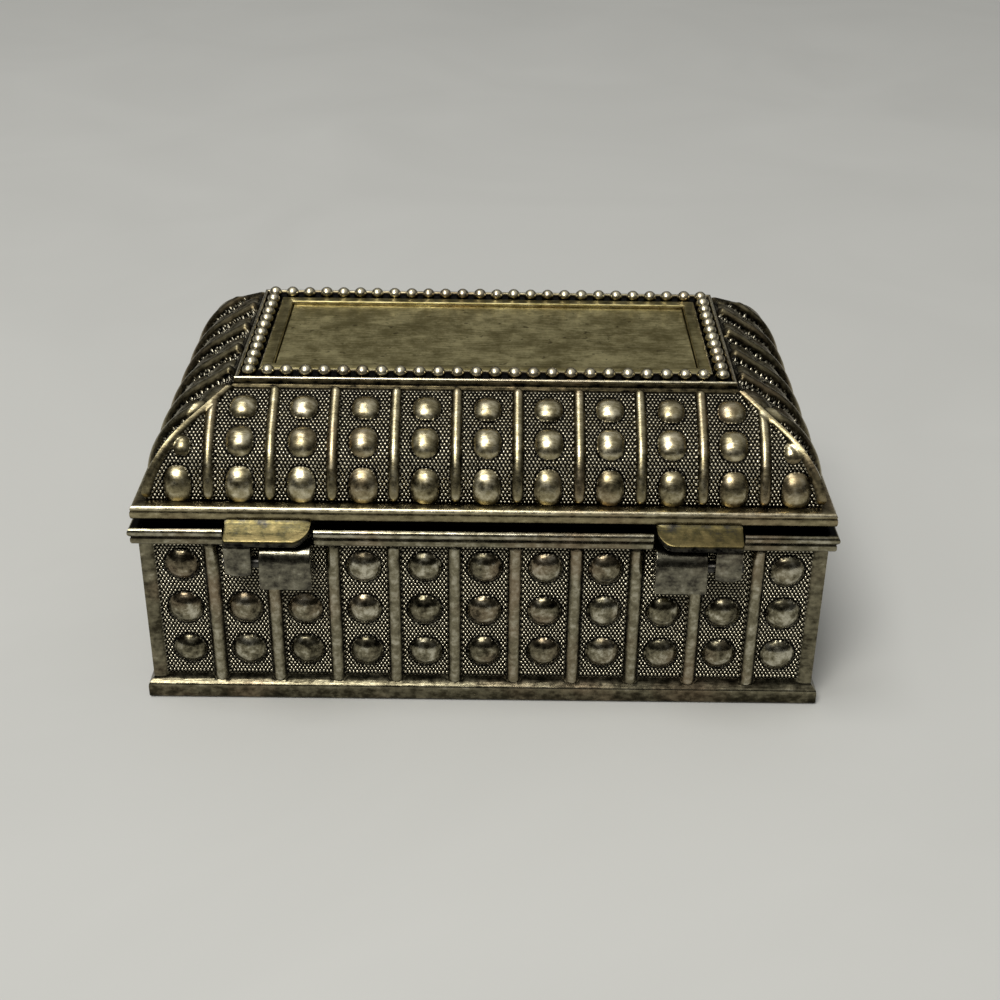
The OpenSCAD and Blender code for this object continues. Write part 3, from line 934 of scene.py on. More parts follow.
@dataclass
class ReliefPanel:
    """A finely gridded part of a casting's side, raised by its bosses, ribs and edges.

    Rows hold reach, height, the outward and upward parts of the normal, and the distance v
    along the surface. Columns share each row's width between them, so panels meet at mitres.
    """

    line: BeadLine
    side: Side
    rows: np.ndarray
    bosses: list[Boss]
    rib_places: np.ndarray
    rib_half: float
    rib_height: float
    rib_low: float
    rib_high: float
    edge_half: float
    edge_height: float
    step: float
    power: float = 2.0
    edge_sine: float = 0.84
    plain_above: float = 0.0
    point_low: float = 0.6
    point_high: float = 0.6
    ledge: np.ndarray | None = None
    edge_is_post: bool = False
    boss_wear: float = 0.6
    rib_wear: float = 0.55
    edge_share: float = 1.0

    def heights(self, u: np.ndarray, v: np.ndarray, half: np.ndarray) -> tuple[np.ndarray, ...]:
        """Height of the relief over the ground, with wear, grain and tone.

        A boss is a round cap, h (sqrt(1 - (k r)^2) - c) / (1 - c) with r = 1 at its edge, k the
        sine of its slope there and c its cosine; a rib is a half round, h sqrt(1 - (d/w)^2),
        whose ends run out; an edge rib or post follows the mitre; a groove 0.14 mm deep runs
        round each boss; the highest of all these counts.

        Args:
            u: places along the side.
            v: places up the surface.
            half: half the width of the panel at each place.

        Returns:
            Arrays of height, wear, grain and tone, and where a rib or an edge covers the rest.
        """
        height = np.zeros_like(u)
        groove = np.zeros_like(u)
        tone = np.full_like(u, 0.5)
        on_boss = np.zeros_like(u)
        for boss in self.bosses:
            reach = max(boss.half_u, boss.half_v) + 1.2
            near = (np.abs(u - boss.u) < reach) & (np.abs(v - boss.v) < reach)
            share = boss_radius(u[near], v[near], boss, self.power)
            small = min(boss.half_u, boss.half_v)
            level = math.sqrt(1 - self.edge_sine**2)
            cap = np.sqrt(1 - (self.edge_sine * np.minimum(share, 1.0)) ** 2) - level
            cap = boss.height * cap / (1 - level)
            height[near] = np.maximum(height[near], cap)
            outside = (share - 1) * small
            groove[near] = np.maximum(groove[near], 0.14 * np.exp(-(((outside - 0.1) / 0.13) ** 2)))
            tone[near] = np.where(share < 1.05, boss.tone, tone[near])
            on_boss[near] = np.maximum(on_boss[near], ramp(share, 1.06, 0.99))
        offset = np.abs(u[..., None] - self.rib_places)
        nearest = offset.min(axis=-1)
        in_panel = half - np.abs(self.rib_places[np.argmin(offset, axis=-1)]) > 0
        low = np.clip((v - self.rib_low) / self.point_low, 0, 1)
        high = np.clip((self.rib_high - v) / self.point_high, 0, 1)
        width = self.rib_half * np.sqrt(np.clip(low * (2 - low), 0, 1)) * (0.12 + 0.88 * np.sqrt(high))
        width = np.maximum(width, 1e-3)
        rib = self.rib_height * np.sqrt(np.clip(1 - (nearest / width) ** 2, 0, 1))
        rib = rib * np.minimum(1, width / self.rib_half * 1.15) * in_panel
        from_edge = half - np.abs(u)
        if self.edge_is_post:
            inner = np.clip(from_edge / self.edge_half, 0, 1)
            edge = self.edge_height * np.sqrt(1 - inner**4)
        else:
            edge = self.edge_height * np.sqrt(np.clip(1 - (from_edge / self.edge_half) ** 2, 0, 1))
            edge = edge * low
        plain = np.maximum(rib, edge)
        total = np.maximum(np.maximum(height, plain), 0)
        total = np.where(total < 0.03, -groove * (plain <= 0.02), total)
        # Close to the mitre only the edge counts, which is the same on both sides that meet there
        total = edge + (total - edge) * ramp(from_edge, 0.0, 1.3)
        peak = max(boss.height for boss in self.bosses)
        wear_and_shade = np.clip(0.5 + (self.boss_wear - 0.2) * ramp(height, 0.02, peak * 0.7), 0, 1) * on_boss
        worn = np.maximum(
            ramp(rib, 0.4 * self.rib_height, self.rib_height),
            self.edge_share * ramp(edge, 0.1, 0.95 * self.edge_height),
        )
        rib_wear = 0.05 + self.rib_wear * worn
        ribbed = plain > np.maximum(height, 0.02)
        wear_and_shade = np.maximum(wear_and_shade, np.where(ribbed, rib_wear, 0))
        grain = (1 - ramp(np.maximum(plain, height), 0.02, 0.12)) * (1 - on_boss)
        if self.plain_above:
            grain = grain * ramp(self.rib_high - v, self.plain_above * 0.6, self.plain_above)
            wear_and_shade = np.maximum(wear_and_shade, 0.1 * ramp(self.rib_high - v, self.plain_above, 0.4 * self.plain_above))
        return total, wear_and_shade, grain, tone, ribbed

    def build(self, draft: Draft) -> tuple[np.ndarray, np.ndarray]:
        """Adds the panel to a piece.

        Args:
            draft: the piece.

        Returns:
            The indices of its first row and of its last row, from left to right.
        """
        half_line = self.line.half_along(self.side)
        widest = half_line + self.rows[:, 0].max()
        cols = int(round(2 * widest / self.step)) + 1
        share = np.linspace(-1, 1, cols)[None, :]
        half = half_line + self.rows[:, :1]
        u = share * half
        v = np.broadcast_to(self.rows[:, 4:5], u.shape)
        half = np.broadcast_to(half, u.shape)
        height, wear_and_shade, grain, tone, ribbed = self.heights(u, v, half)
        if self.ledge is not None:
            rise = np.interp(self.rows[:, 4], self.ledge[:, 0], self.ledge[:, 1])[:, None]
            rise = np.broadcast_to(rise, u.shape)
            plain = rise > height
            wear_and_shade = np.where(plain, 0.42, wear_and_shade)
            grain = np.where(plain, 0.0, grain)
            tone = np.where(plain, 0.5, tone)
            height = np.maximum(height, rise)
        normal_out, normal_up = self.rows[:, 2:3], self.rows[:, 3:4]
        at_mitre = np.clip((np.abs(u) - half + 1.3) / 1.3, 0, 1)
        spread = np.sign(u) * height * normal_out * at_mitre**2
        points = self.line.place(
            self.side,
            u + spread,
            self.rows[:, :1] + height * normal_out,
            self.rows[:, 1:2] + height * normal_up,
        )
        start = draft.add_points(points, np.stack([u, v], axis=-1), wear_and_shade, grain, tone)
        faces = grid_quads(len(self.rows), cols, start)
        draft.add_faces(faces, self.cells(u, v, faces - start, ribbed))
        first = start + np.arange(cols)
        return first, first + (len(self.rows) - 1) * cols

    def cells(self, u: np.ndarray, v: np.ndarray, faces: np.ndarray, ribbed: np.ndarray) -> np.ndarray:
        """Place of every face corner inside the boss nearest to its face.

        Args:
            u: places along the side.
            v: places up the surface.
            faces: faces, by index into u and v.
            ribbed: where a rib or an edge covers the ground, so that no groove shows.

        Returns:
            Two numbers per corner; the boss's edge is at distance 1.
        """
        flat = np.stack([u.ravel()[faces], v.ravel()[faces]], axis=-1)
        middle = flat.mean(axis=1)
        best = np.where(ribbed.ravel()[faces].any(axis=1), -1.0, np.inf)
        cells = np.full(flat.shape, 3.0)
        for boss in self.bosses:
            share = boss_radius(middle[:, 0], middle[:, 1], boss, self.power)
            closer = (share < best) & (share < 1.9)
            best = np.where(closer, share, best)
            centred = (flat[closer] - (boss.u, boss.v)) / (boss.half_u, boss.half_v)
            length = np.linalg.norm(centred, axis=-1, keepdims=True)
            oval = boss_radius(flat[closer][..., 0], flat[closer][..., 1], boss, self.power)[..., None]
            cells[closer] = centred * oval / np.maximum(length, 1e-6)
        return cells


def join_rows(draft: Draft, outline_row: np.ndarray, fine: np.ndarray, below: bool) -> None:
    """Closes the strip between a straight edge of two points and a finely divided one.

    Args:
        draft: the piece.
        outline_row: the left and right index of the straight edge.
        fine: the indices of the divided edge, from left to right.
        below: True if the straight edge lies below the divided one.
    """
    left, right = outline_row
    if below:
        draft.add_faces(np.concatenate([[left, right], fine[::-1]]))
    else:
        draft.add_faces(np.concatenate([fine, [right, left]]))


def edge_points(draft: Draft, line: BeadLine, side: Side, reach: float, z: float, wear_and_shade: float) -> np.ndarray:
    """Adds the two ends of one straight edge of the bead rectangle's offset.

    Args:
        draft: the piece.
        line: the bead rectangle.
        side: the side.
        reach: distance outward from the bead rectangle.
        z: height.
        wear_and_shade: wear of the metal there, below 0 for full black, which is painted shade on the faces of the
            seat gap.

    Returns:
        The index of the left end and of the right end.
    """
    half = line.half_along(side) + reach
    u = np.array([-half, half])
    start = draft.add_points(line.place(side, u, np.float64(reach), np.float64(z)), wear_and_shade=wear_and_shade)
    return np.array([start, start + 1])


@dataclass
class BaseCasting:
    """The cast tray: plinth, panelled sides, upper rim with its two gaps, seat lip and cavity."""

    line: BeadLine
    seat_z: float = 31.2
    ground: float = 14.5
    plinth: float = 15.8
    inner: float = 12.7
    under: float = 12.9
    floor_z: float = 2.4
    long_cols: int = 11
    short_cols: int = 7
    panel_mid: float = 15.5
    row_pitch: float = 7.3
    boss_half: float = 2.5
    boss_height: float = 1.1
    shift: float = 0.2
    rib_half: float = 1.1
    rib_height: float = 1.05
    hinge_in: float = 24.4
    hinge_out: float = 36.8
    step: float = 0.3

    def pitch(self, side: Side) -> float:
        """Distance between the columns of bosses on one side."""
        count = self.long_cols + 0.18 if side.is_long else self.short_cols + 0.19
        return 2 * (self.line.half_along(side) + self.ground) / count

    def bosses(self, side: Side, rng: np.random.Generator) -> list[Boss]:
        """Bosses of one side, with none behind the hinges in the top row.

        Args:
            side: the side of the box.
            rng: source of their small differences.

        Returns:
            The bosses, column by column from the left.
        """
        count = self.long_cols if side.is_long else self.short_cols
        made = []
        for i in range(count):
            u = (i - (count - 1) / 2) * self.pitch(side) + (self.shift if side is Side.HINGE else 0)
            for row in range(3):
                near = self.hinge_in - self.boss_half < abs(u) < self.hinge_out + self.boss_half
                if side is Side.HINGE and row == 2 and near:
                    continue
                z = self.panel_mid + (row - 1) * self.row_pitch
                size = self.boss_half * rng.uniform(0.97, 1.02)
                made.append(
                    Boss(u + rng.uniform(-0.1, 0.1), z + rng.uniform(-0.08, 0.08), size,
                         size * rng.uniform(0.99, 1.05), self.boss_height, rng.uniform(0.25, 0.6))
                )
        return made

    def build(self, material: bpy.types.Material) -> bpy.types.Object:
        """Builds the whole casting as one closed mesh.

        Args:
            material: its finish.

        Returns:
            The object.
        """
        draft = Draft("base_casting_plated")
        rng = np.random.default_rng(11)
        low_z, high_z = 2.7, 26.6
        z = np.linspace(low_z, high_z, int(round((high_z - low_z) / self.step)) + 1)
        rows = np.stack([np.full_like(z, self.ground), z, np.ones_like(z), np.zeros_like(z), z], axis=1)
        ledge = np.array(
            [[2.7, 0.95], [2.85, 0.82], [3.1, 0.58], [3.45, 0.34], [3.75, 0.26], [3.95, 0.18], [4.1, -1.0]]
        )
        below = np.concatenate([
            [(-self.line.half_y, 0.8, 0.1), (self.under, 0.8, 0.1)],
            soften([(self.under, 0.0, 0.2), (15.5, 0.0, 0.2), (self.plinth, 0.3, 0.3), (self.plinth, 1.2, 0.36),
                    (self.plinth, 1.95, 0.42), (15.74, 2.4, 0.6), (15.45, 2.7, 0.45)], 0.35),
        ])
        # The lip's outer face, under the lid's rim, has wear below 0: painted shade that makes the seat gap black.
        above = np.concatenate([
            soften([(self.ground, 29.4, -0.7), (14.3, 29.7, -0.7), (14.3, 31.0, -0.3), (14.15, self.seat_z, 0.3),
                    (self.inner, self.seat_z, 0.45), (self.inner, self.floor_z, 0.2)], 0.2),
            [(-self.line.half_y, self.floor_z, 0.2)],
        ])
        carry_round(draft, self.line, below)
        carry_round(draft, self.line, above)
        for side in Side:
            count = self.long_cols if side.is_long else self.short_cols
            ribs = (np.arange(count - 1) - (count - 2) / 2) * self.pitch(side)
            ribs = ribs + (self.shift if side is Side.HINGE else 0)
            panel = ReliefPanel(
                self.line, side, rows, self.bosses(side, rng), ribs, self.rib_half, self.rib_height,
                rib_low=2.9, rib_high=26.9, edge_half=1.8, edge_height=0.45, step=self.step,
                ledge=ledge, edge_is_post=True, edge_sine=0.78, boss_wear=0.36, rib_wear=0.62, edge_share=0.7,
            )
            first, last = panel.build(draft)
            lower = edge_points(draft, self.line, side, *below[-1])
            upper = edge_points(draft, self.line, side, *above[0])
            join_rows(draft, lower, first, below=True)
            join_rows(draft, upper, last, below=False)
        self.rim(draft)
        return draft.make("base", material, ("base_casting",))

    def rim(self, draft: Draft) -> None:
        """Adds the upper rim: one short bar between the hinges and one long bar round the rest.

        Args:
            draft: the piece.
        """
        # The rim's top under the lid has wear below 0: painted shade that makes the seat gap black.
        outline = soften(
            [(14.0, 26.1, 0.1), (14.7, 26.4, 0.15), (15.2, 26.65, 0.25), (15.75, 26.95, 0.5), (15.9, 27.3, 0.6),
             (15.88, 27.85, 0.55), (15.72, 28.08, 0.0), (15.95, 28.25, 0.4), (16.18, 28.6, 0.66),
             (16.2, 28.95, 0.68), (16.02, 29.32, 0.74), (15.7, 29.52, 0.3), (15.4, 29.58, -0.4),
             (14.0, 29.7, -0.7)],
            0.15,
        )
        x, y = self.line.half_x, self.line.half_y
        gap_in, gap_out = self.hinge_in - 0.3, self.hinge_out + 0.3
        middle = [(-gap_in, 0, -y, -1), (gap_in, 0, -y, -1)]
        round_the_rest = [
            (gap_out, 0, -y, -1), (x, 1, -y, -1), (x, 1, y, 1), (-x, -1, y, 1), (-x, -1, -y, -1),
            (-gap_out, 0, -y, -1),
        ]
        carry_bar(draft, middle, outline)
        carry_bar(draft, round_the_rest, outline)


@dataclass
class LidCasting:
    """The cast hipped lid: rim, ribbed shoulders with bosses, band, bead bed and plate bed."""

    line: BeadLine
    seat_z: float = 31.2
    centre_s: float = 1.1
    centre_z: float = 31.5
    ground_r: float = 12.6
    inner_r: float = 11.1
    slope_deg: float = 31.2
    bed_z: float = 45.63
    ceiling_z: float = 44.33
    boss_rows: tuple[tuple[float, float], ...] = ((-2.75, 0.0), (2.75, 0.6), (9.3, 1.7))
    boss_half: float = 2.0
    boss_height: float = 0.85
    shift: float = 0.35
    long_cols: int = 11
    short_cols: int = 7
    step: float = 0.27
    bead_r: float = 1.06
    bead_z: float = 46.89
    long_rib: tuple[float, float] = (0.88, 0.72)
    short_rib: tuple[float, float] = (1.35, 1.35)

    def surface(self, down: np.ndarray, radius: float) -> np.ndarray:
        """Reach, height and normal of the shoulder at a distance down from the tangent point.

        Below the tangent point the place turns on an arc, t = slope + down / radius; above it
        the place moves straight up the slope.

        Args:
            down: distance down the slope, negative above the tangent point.
            radius: radius of the shoulder.

        Returns:
            Rows of reach, height, outward normal and upward normal.
        """
        slope = math.radians(self.slope_deg)
        t = slope + np.maximum(down, 0) / radius
        up = np.minimum(down, 0)
        reach = self.centre_s + radius * np.sin(t) + up * math.cos(slope)
        z = self.centre_z + radius * np.cos(t) - up * math.sin(slope)
        return np.stack([reach, z, np.sin(t), np.cos(t)], axis=-1)

    def pitch(self, side: Side) -> float:
        """Distance between the columns of bosses on one side."""
        count = self.long_cols + 0.18 if side.is_long else self.short_cols + 0.19
        return 2 * (self.line.half_along(side) + 14.5) / count

    def bosses(self, side: Side, rng: np.random.Generator) -> list[Boss]:
        """Bosses of one side, smaller and lower where a hip is close.

        Args:
            side: the side of the box.
            rng: source of their small differences.

        Returns:
            The bosses, column by column from the left.
        """
        count = self.long_cols if side.is_long else self.short_cols
        half = self.line.half_along(side)
        made = []
        for i in range(count):
            u = (i - (count - 1) / 2) * self.pitch(side) + (self.shift if side is Side.HINGE else 0)
            for down, extra in self.boss_rows:
                tight = abs(u) > half + self.surface(np.array(down), self.ground_r)[0] - self.boss_half
                place = down + (0.9 if tight else 0.0)
                size = 1.3 if tight else self.boss_half
                if abs(u) >= half + self.surface(np.array(place), self.ground_r)[0]:
                    continue
                tall = self.boss_height * size / self.boss_half * (1.0 if side.is_long else 0.85)
                made.append(
                    Boss(u - np.sign(u) * (0.5 if tight else 0.0) + rng.uniform(-0.06, 0.06),
                         -place + rng.uniform(-0.06, 0.06),
                         (size + (0.0 if side.is_long else 0.4)) * rng.uniform(0.98, 1.03),
                         size + extra / 2 + (0.0 if side.is_long else 0.5), tall, rng.uniform(0.3, 0.6))
                )
        return made

    def build(self, material: bpy.types.Material) -> bpy.types.Object:
        """Builds the whole casting as one closed mesh.

        Args:
            material: its finish.

        Returns:
            The object.
        """
        draft = Draft("lid_casting_plated")
        rng = np.random.default_rng(23)
        down_low = (math.acos(1.45 / self.ground_r) - math.radians(self.slope_deg)) * self.ground_r
        down_high = -6.0
        down = np.linspace(down_low, down_high, int(round((down_low - down_high) / self.step)) + 1)
        rows = np.concatenate([self.surface(down, self.ground_r), -down[:, None]], axis=1)
        y = self.line.half_y
        inner_down = np.linspace(-6.2, (math.pi / 2 - math.radians(self.slope_deg)) * self.inner_r, 12)
        inner = self.surface(inner_down, self.inner_r)[:, :2]
        inner = inner[inner[:, 1] < self.ceiling_z - 0.1]
        shell = [(-y, self.ceiling_z, 0.2), (1.34, self.ceiling_z, 0.2)]
        shell += [(reach, z, 0.2) for reach, z in inner]
        shell += [(12.2, 31.25, 0.2), (12.2, self.seat_z, 0.2)]
        # The rim's underside over the seat gap has wear below 0: painted shade that makes the gap black.
        below = np.concatenate([
            shell,
            soften([(12.6, self.seat_z, 0.4), (14.42, self.seat_z, 0.2), (14.48, 30.85, -0.4),
                    (15.2, 30.72, -0.4), (15.55, 30.95, 0.4), (15.64, 31.45, 0.55), (15.6, 31.95, 0.5),
                    (15.48, 32.18, 0.3), (15.56, 32.4, 0.8), (15.3, 32.8, 0.8), (14.9, 32.88, 0.55),
                    (13.75, 32.98, 0.2)], 0.2),
        ])
        above = np.concatenate([
            soften([(2.4, 45.44, 0.2), (2.05, 45.72, 0.15), (1.92, 46.1, 0.1), (1.95, 46.5, 0.3), (1.8, 46.78, 1.15),
                    (1.55, 46.82, 1.15), (1.35, 46.66, 0.3), (1.15, 46.36, -0.6), (-1.05, 46.36, -0.6),
                    (-1.2, 46.6, -0.1), (-1.4, 46.72, 1.2), (-2.85, 46.74, 1.2), (-3.1, 46.62, 0.9),
                    (-3.15, 46.3, 0.4), (-3.15, self.bed_z, 0.0)], 0.14),
            [(-y, self.bed_z, 0.1)],
        ])
        carry_round(draft, self.line, below)
        carry_round(draft, self.line, above)
        for side in Side:
            count = self.long_cols if side.is_long else self.short_cols
            ribs = (np.arange(count - 1) - (count - 2) / 2) * self.pitch(side)
            ribs = ribs + (self.shift if side is Side.HINGE else 0)
            rib_half, rib_height = self.long_rib if side.is_long else self.short_rib
            panel = ReliefPanel(
                self.line, side, rows, self.bosses(side, rng), ribs, rib_half, rib_height,
                rib_low=rows[0, 4] + 0.15, rib_high=rows[-1, 4] + 0.3, edge_half=0.85, edge_height=0.62,
                step=self.step, power=2.4, point_low=1.0, point_high=0.8, plain_above=0.75,
                boss_wear=0.42, rib_wear=0.6, edge_share=0.7,
            )
            first, last = panel.build(draft)
            lower = edge_points(draft, self.line, side, *below[-1])
            upper = edge_points(draft, self.line, side, *above[0])
            join_rows(draft, lower, first, below=True)
            join_rows(draft, upper, last, below=False)
        return draft.make("lid", material, ("lid_casting",))

    def beads(self, material: bpy.types.Material) -> bpy.types.Object:
        """Builds the beads: one small ball at every step of the bead rectangle.

        A ball's point is centre + r (sin p cos a, sin p sin a, cos p).

        Args:
            material: their finish.

        Returns:
            The object.
        """
        x, y = self.line.half_x, self.line.half_y
        across = np.linspace(-x, x, BEADS_ALONG)
        down = np.linspace(-y, y, BEADS_ACROSS)[1:-1]
        places = np.concatenate([
            np.stack([across, np.full_like(across, -y)], 1), np.stack([across, np.full_like(across, y)], 1),
            np.stack([np.full_like(down, -x), down], 1), np.stack([np.full_like(down, x), down], 1),
        ])
        rng = np.random.default_rng(5)
        places = places + rng.uniform(-0.05, 0.05, places.shape)
        radius = self.bead_r * rng.uniform(0.96, 1.02, len(places))
        polar = np.linspace(math.pi, 0, 8)[:, None]
        turn = np.linspace(0, 2 * math.pi, 13)[None, :]
        ball = np.stack(
            [np.sin(polar) * np.cos(turn), np.sin(polar) * np.sin(turn), np.cos(polar) + 0 * turn], -1
        )
        centres = np.concatenate([places, np.full((len(places), 1), self.bead_z)], axis=1)
        points = centres[:, None, None, :] + radius[:, None, None, None] * ball[None]
        draft = Draft("lid_beads")
        wear_and_shade = -0.1 + 1.2 * ramp(points[..., 2] - 46.6, 0.0, 0.9)
        tone = np.broadcast_to(rng.uniform(0.4, 0.8, len(places))[:, None, None], wear_and_shade.shape)
        start = draft.add_points(points, wear_and_shade=wear_and_shade, tone=tone)
        single = grid_quads(8, 13)
        step = 8 * 13
        faces = start + single[None] + (np.arange(len(places)) * step)[:, None, None]
        draft.add_faces(faces.reshape(-1, 4))
        return draft.make("lid", material, ("lid_casting",), sharp_deg=80)


@dataclass
class HingePair:
    """Two cast hinges: a leaf and a knuckle on the lid, and a footed knuckle on the base."""

    pin_y: float = -31.85
    pin_z: float = 24.7
    hinge_in: float = 24.4
    hinge_out: float = 36.6
    base_length: float = 7.4
    lid_length: float = 3.8
    radius: float = 1.95
    bore: float = 0.86
    foot: float = 3.4
    depth: float = 2.75
    top: float = 2.85

    def ring_piece(
        self,
        draft: Draft,
        outer: np.ndarray,
        turn: np.ndarray,
        ends: tuple[float, float],
        corner: float,
        wear_and_shade: float,
    ) -> None:
        """Adds a bored block: outer outline and bore carried along X, closed by end rings.

        A point at angle a lies at r(a) (cos a, sin a) from the pin's axis, with y and z.

        Args:
            draft: the piece.
            outer: distance of the outside from the axis at each angle.
            turn: the angles, the last one a full turn after the first.
            ends: lower and upper x.
            corner: radius of its two lower corners, seen along Y.
            wear_and_shade: wear of the metal.
        """
        low, high = ends
        k = np.linspace(0, math.pi / 2, 9)
        inset = corner * (1 - np.cos(k))
        bevel = 0.2 * (1 - np.sqrt(1 - (1 - np.minimum(inset / 0.2, 1)) ** 2))
        lowered = ramp(-np.sin(turn), 0.35, 0.9)[None, :] * (corner * (1 - np.sin(k)))[:, None]
        side = outer[None, :] - np.maximum(lowered, bevel[:, None])
        bored = np.full((1, len(outer)), self.bore)
        radius = np.concatenate([bored, side, side[::-1], bored, bored])
        x = np.concatenate([[low], low + inset, high - inset[::-1], [high], [low]])
        y = self.pin_y + radius * np.cos(turn)
        z = self.pin_z + radius * np.sin(turn)
        points = np.stack([np.broadcast_to(x[:, None], y.shape), y, z], axis=-1)
        start = draft.add_points(points, wear_and_shade=wear_and_shade)
        faces = grid_quads(len(radius), len(turn), start)
        draft.add_faces(faces)

    def build(self, knuckle: bpy.types.Material, leaf: bpy.types.Material) -> None:
        """Builds both hinges.

        Args:
            knuckle: finish of the knuckles.
            leaf: finish of the leaves.
        """
        turn = np.linspace(-math.pi, math.pi, 73)
        cosine, sine = np.cos(turn), np.sin(turn)
        with np.errstate(divide="ignore"):
            side_reach = np.where(cosine < 0, self.radius, self.depth) / np.abs(cosine)
            foot_reach = np.minimum(side_reach, self.foot / np.abs(sine))
            back_reach = np.minimum(self.depth / np.abs(cosine), self.top / np.abs(sine))
            block_reach = np.minimum(self.radius / np.abs(cosine), 3.7 / np.abs(sine))
        full = self.radius * np.minimum(1.1, (np.abs(cosine) ** 3 + np.abs(sine) ** 3) ** (-1 / 3))
        # Above height c the front is a quarter of the ellipse (y / a)^2 + ((z - c) / b)^2 = 1
        c, b = -0.4, self.top + 0.4
        share = (cosine / self.radius) ** 2 + (sine / b) ** 2
        rest = (c * sine / b**2) ** 2 - share * ((c / b) ** 2 - 1)
        round_top = (c * sine / b**2 + np.sqrt(rest)) / share
        front = np.where(round_top * sine > c, round_top, foot_reach)
        base_outer = np.where(cosine < 0, front, np.where(sine < 0, foot_reach, back_reach))
        lid_outer = np.where(sine < 0, np.where(cosine < 0, full, self.radius), block_reach)
        for name, sign in (("left", -1), ("right", 1)):
            draft = Draft(f"{name}_base_knuckle")
            ends = sorted((sign * self.hinge_in, sign * (self.hinge_in + self.base_length)))
            self.ring_piece(draft, base_outer, turn, tuple(ends), 0.3, 0.48)
            draft.make("base", knuckle, ("base_casting",), sharp_deg=50)
            draft = Draft(f"{name}_lid_knuckle")
            ends = sorted((sign * self.hinge_out, sign * (self.hinge_out - self.lid_length)))
            self.ring_piece(draft, lid_outer, turn, tuple(ends), 1.2, 0.5)
            draft.make("lid", knuckle, ("lid_casting",), sharp_deg=50)
            self.leaf(f"{name}_hinge_leaf", sign, leaf)

    def leaf(self, name: str, sign: int, material: bpy.types.Material) -> bpy.types.Object:
        """Builds one leaf: its outline carried along X, drawn in towards the rim at the inner end.

        Over the last 2.6 mm the outline shrinks to its rear top corner by 0.8 (1 - sqrt(1 - t^2)),
        a quarter circle, where t runs from 0 to 1 at the end.

        Args:
            name: name of the piece.
            sign: -1 on the left, 1 on the right.
            material: its finish.

        Returns:
            The object.
        """
        outline = soften(
            [(1.9, 3.4, 0.1), (-1.6, 3.4, 0.1), (-1.95, 3.65, 0.15), (-1.95, 4.25, 0.25), (-1.8, 4.55, 0.95),
             (-0.35, 5.15, 0.7), (0.9, 5.8, 0.6), (1.3, 6.3, 0.4), (1.9, 6.3, 0.2)],
            0.3,
        )
        ring = np.concatenate([outline, outline[:1]])
        out = np.concatenate([np.linspace(0, 1, 13) * 2.6, [11.9, 12.1, 12.2]])
        ease = 1 - np.sqrt(1 - (1 - np.minimum(out / 2.6, 1)) ** 2)
        shrink = 1 - 0.8 * ease
        shrink[-2:] = (0.97, 0.9)
        corner = np.where(out < 6, 1.9, 0.0), np.where(out < 6, 6.3, 4.8)
        y = corner[0][:, None] + (ring[None, :, 0] - corner[0][:, None]) * shrink[:, None]
        z = corner[1][:, None] + (ring[None, :, 1] - corner[1][:, None]) * shrink[:, None]
        x = sign * (self.hinge_in + out)
        if sign < 0:
            x, y, z = x[::-1], y[::-1], z[::-1]
        points = np.stack([np.broadcast_to(x[:, None], y.shape), self.pin_y + y, self.pin_z + z], axis=-1)
        draft = Draft(name)
        start = draft.add_points(points, wear_and_shade=np.broadcast_to(ring[None, :, 2], y.shape))
        cols = len(ring)
        faces = grid_quads(len(x), cols, start)
        draft.add_faces(faces[:, ::-1])
        draft.add_faces(start + np.arange(cols - 1))
        draft.add_faces(start + (len(x) - 1) * cols + np.arange(cols - 1)[::-1])
        return draft.make("lid", material, ("lid_casting",), sharp_deg=50)


def ripple(a: np.ndarray, b: np.ndarray, seed: int, length: float, height: float) -> np.ndarray:
    """Small uneven waves: the mean of seven sine waves of random direction and phase.

    Each wave is sin(2 pi (a cos w + b sin w) / L + p), with L near the given length.

    Args:
        a: first place along the surface, in millimetres.
        b: second place along the surface.
        seed: seed of the waves.
        length: length of a wave.
        height: height of the highest waves.

    Returns:
        The rise at each place.
    """
    rng = np.random.default_rng(seed)
    way = rng.uniform(0, math.pi, 7)
    long = length * rng.uniform(0.7, 1.6, 7)
    phase = rng.uniform(0, 2 * math.pi, 7)
    turn = (a[..., None] * np.cos(way) + b[..., None] * np.sin(way)) * 2 * math.pi / long + phase
    return height * np.sin(turn).mean(axis=-1) * 2


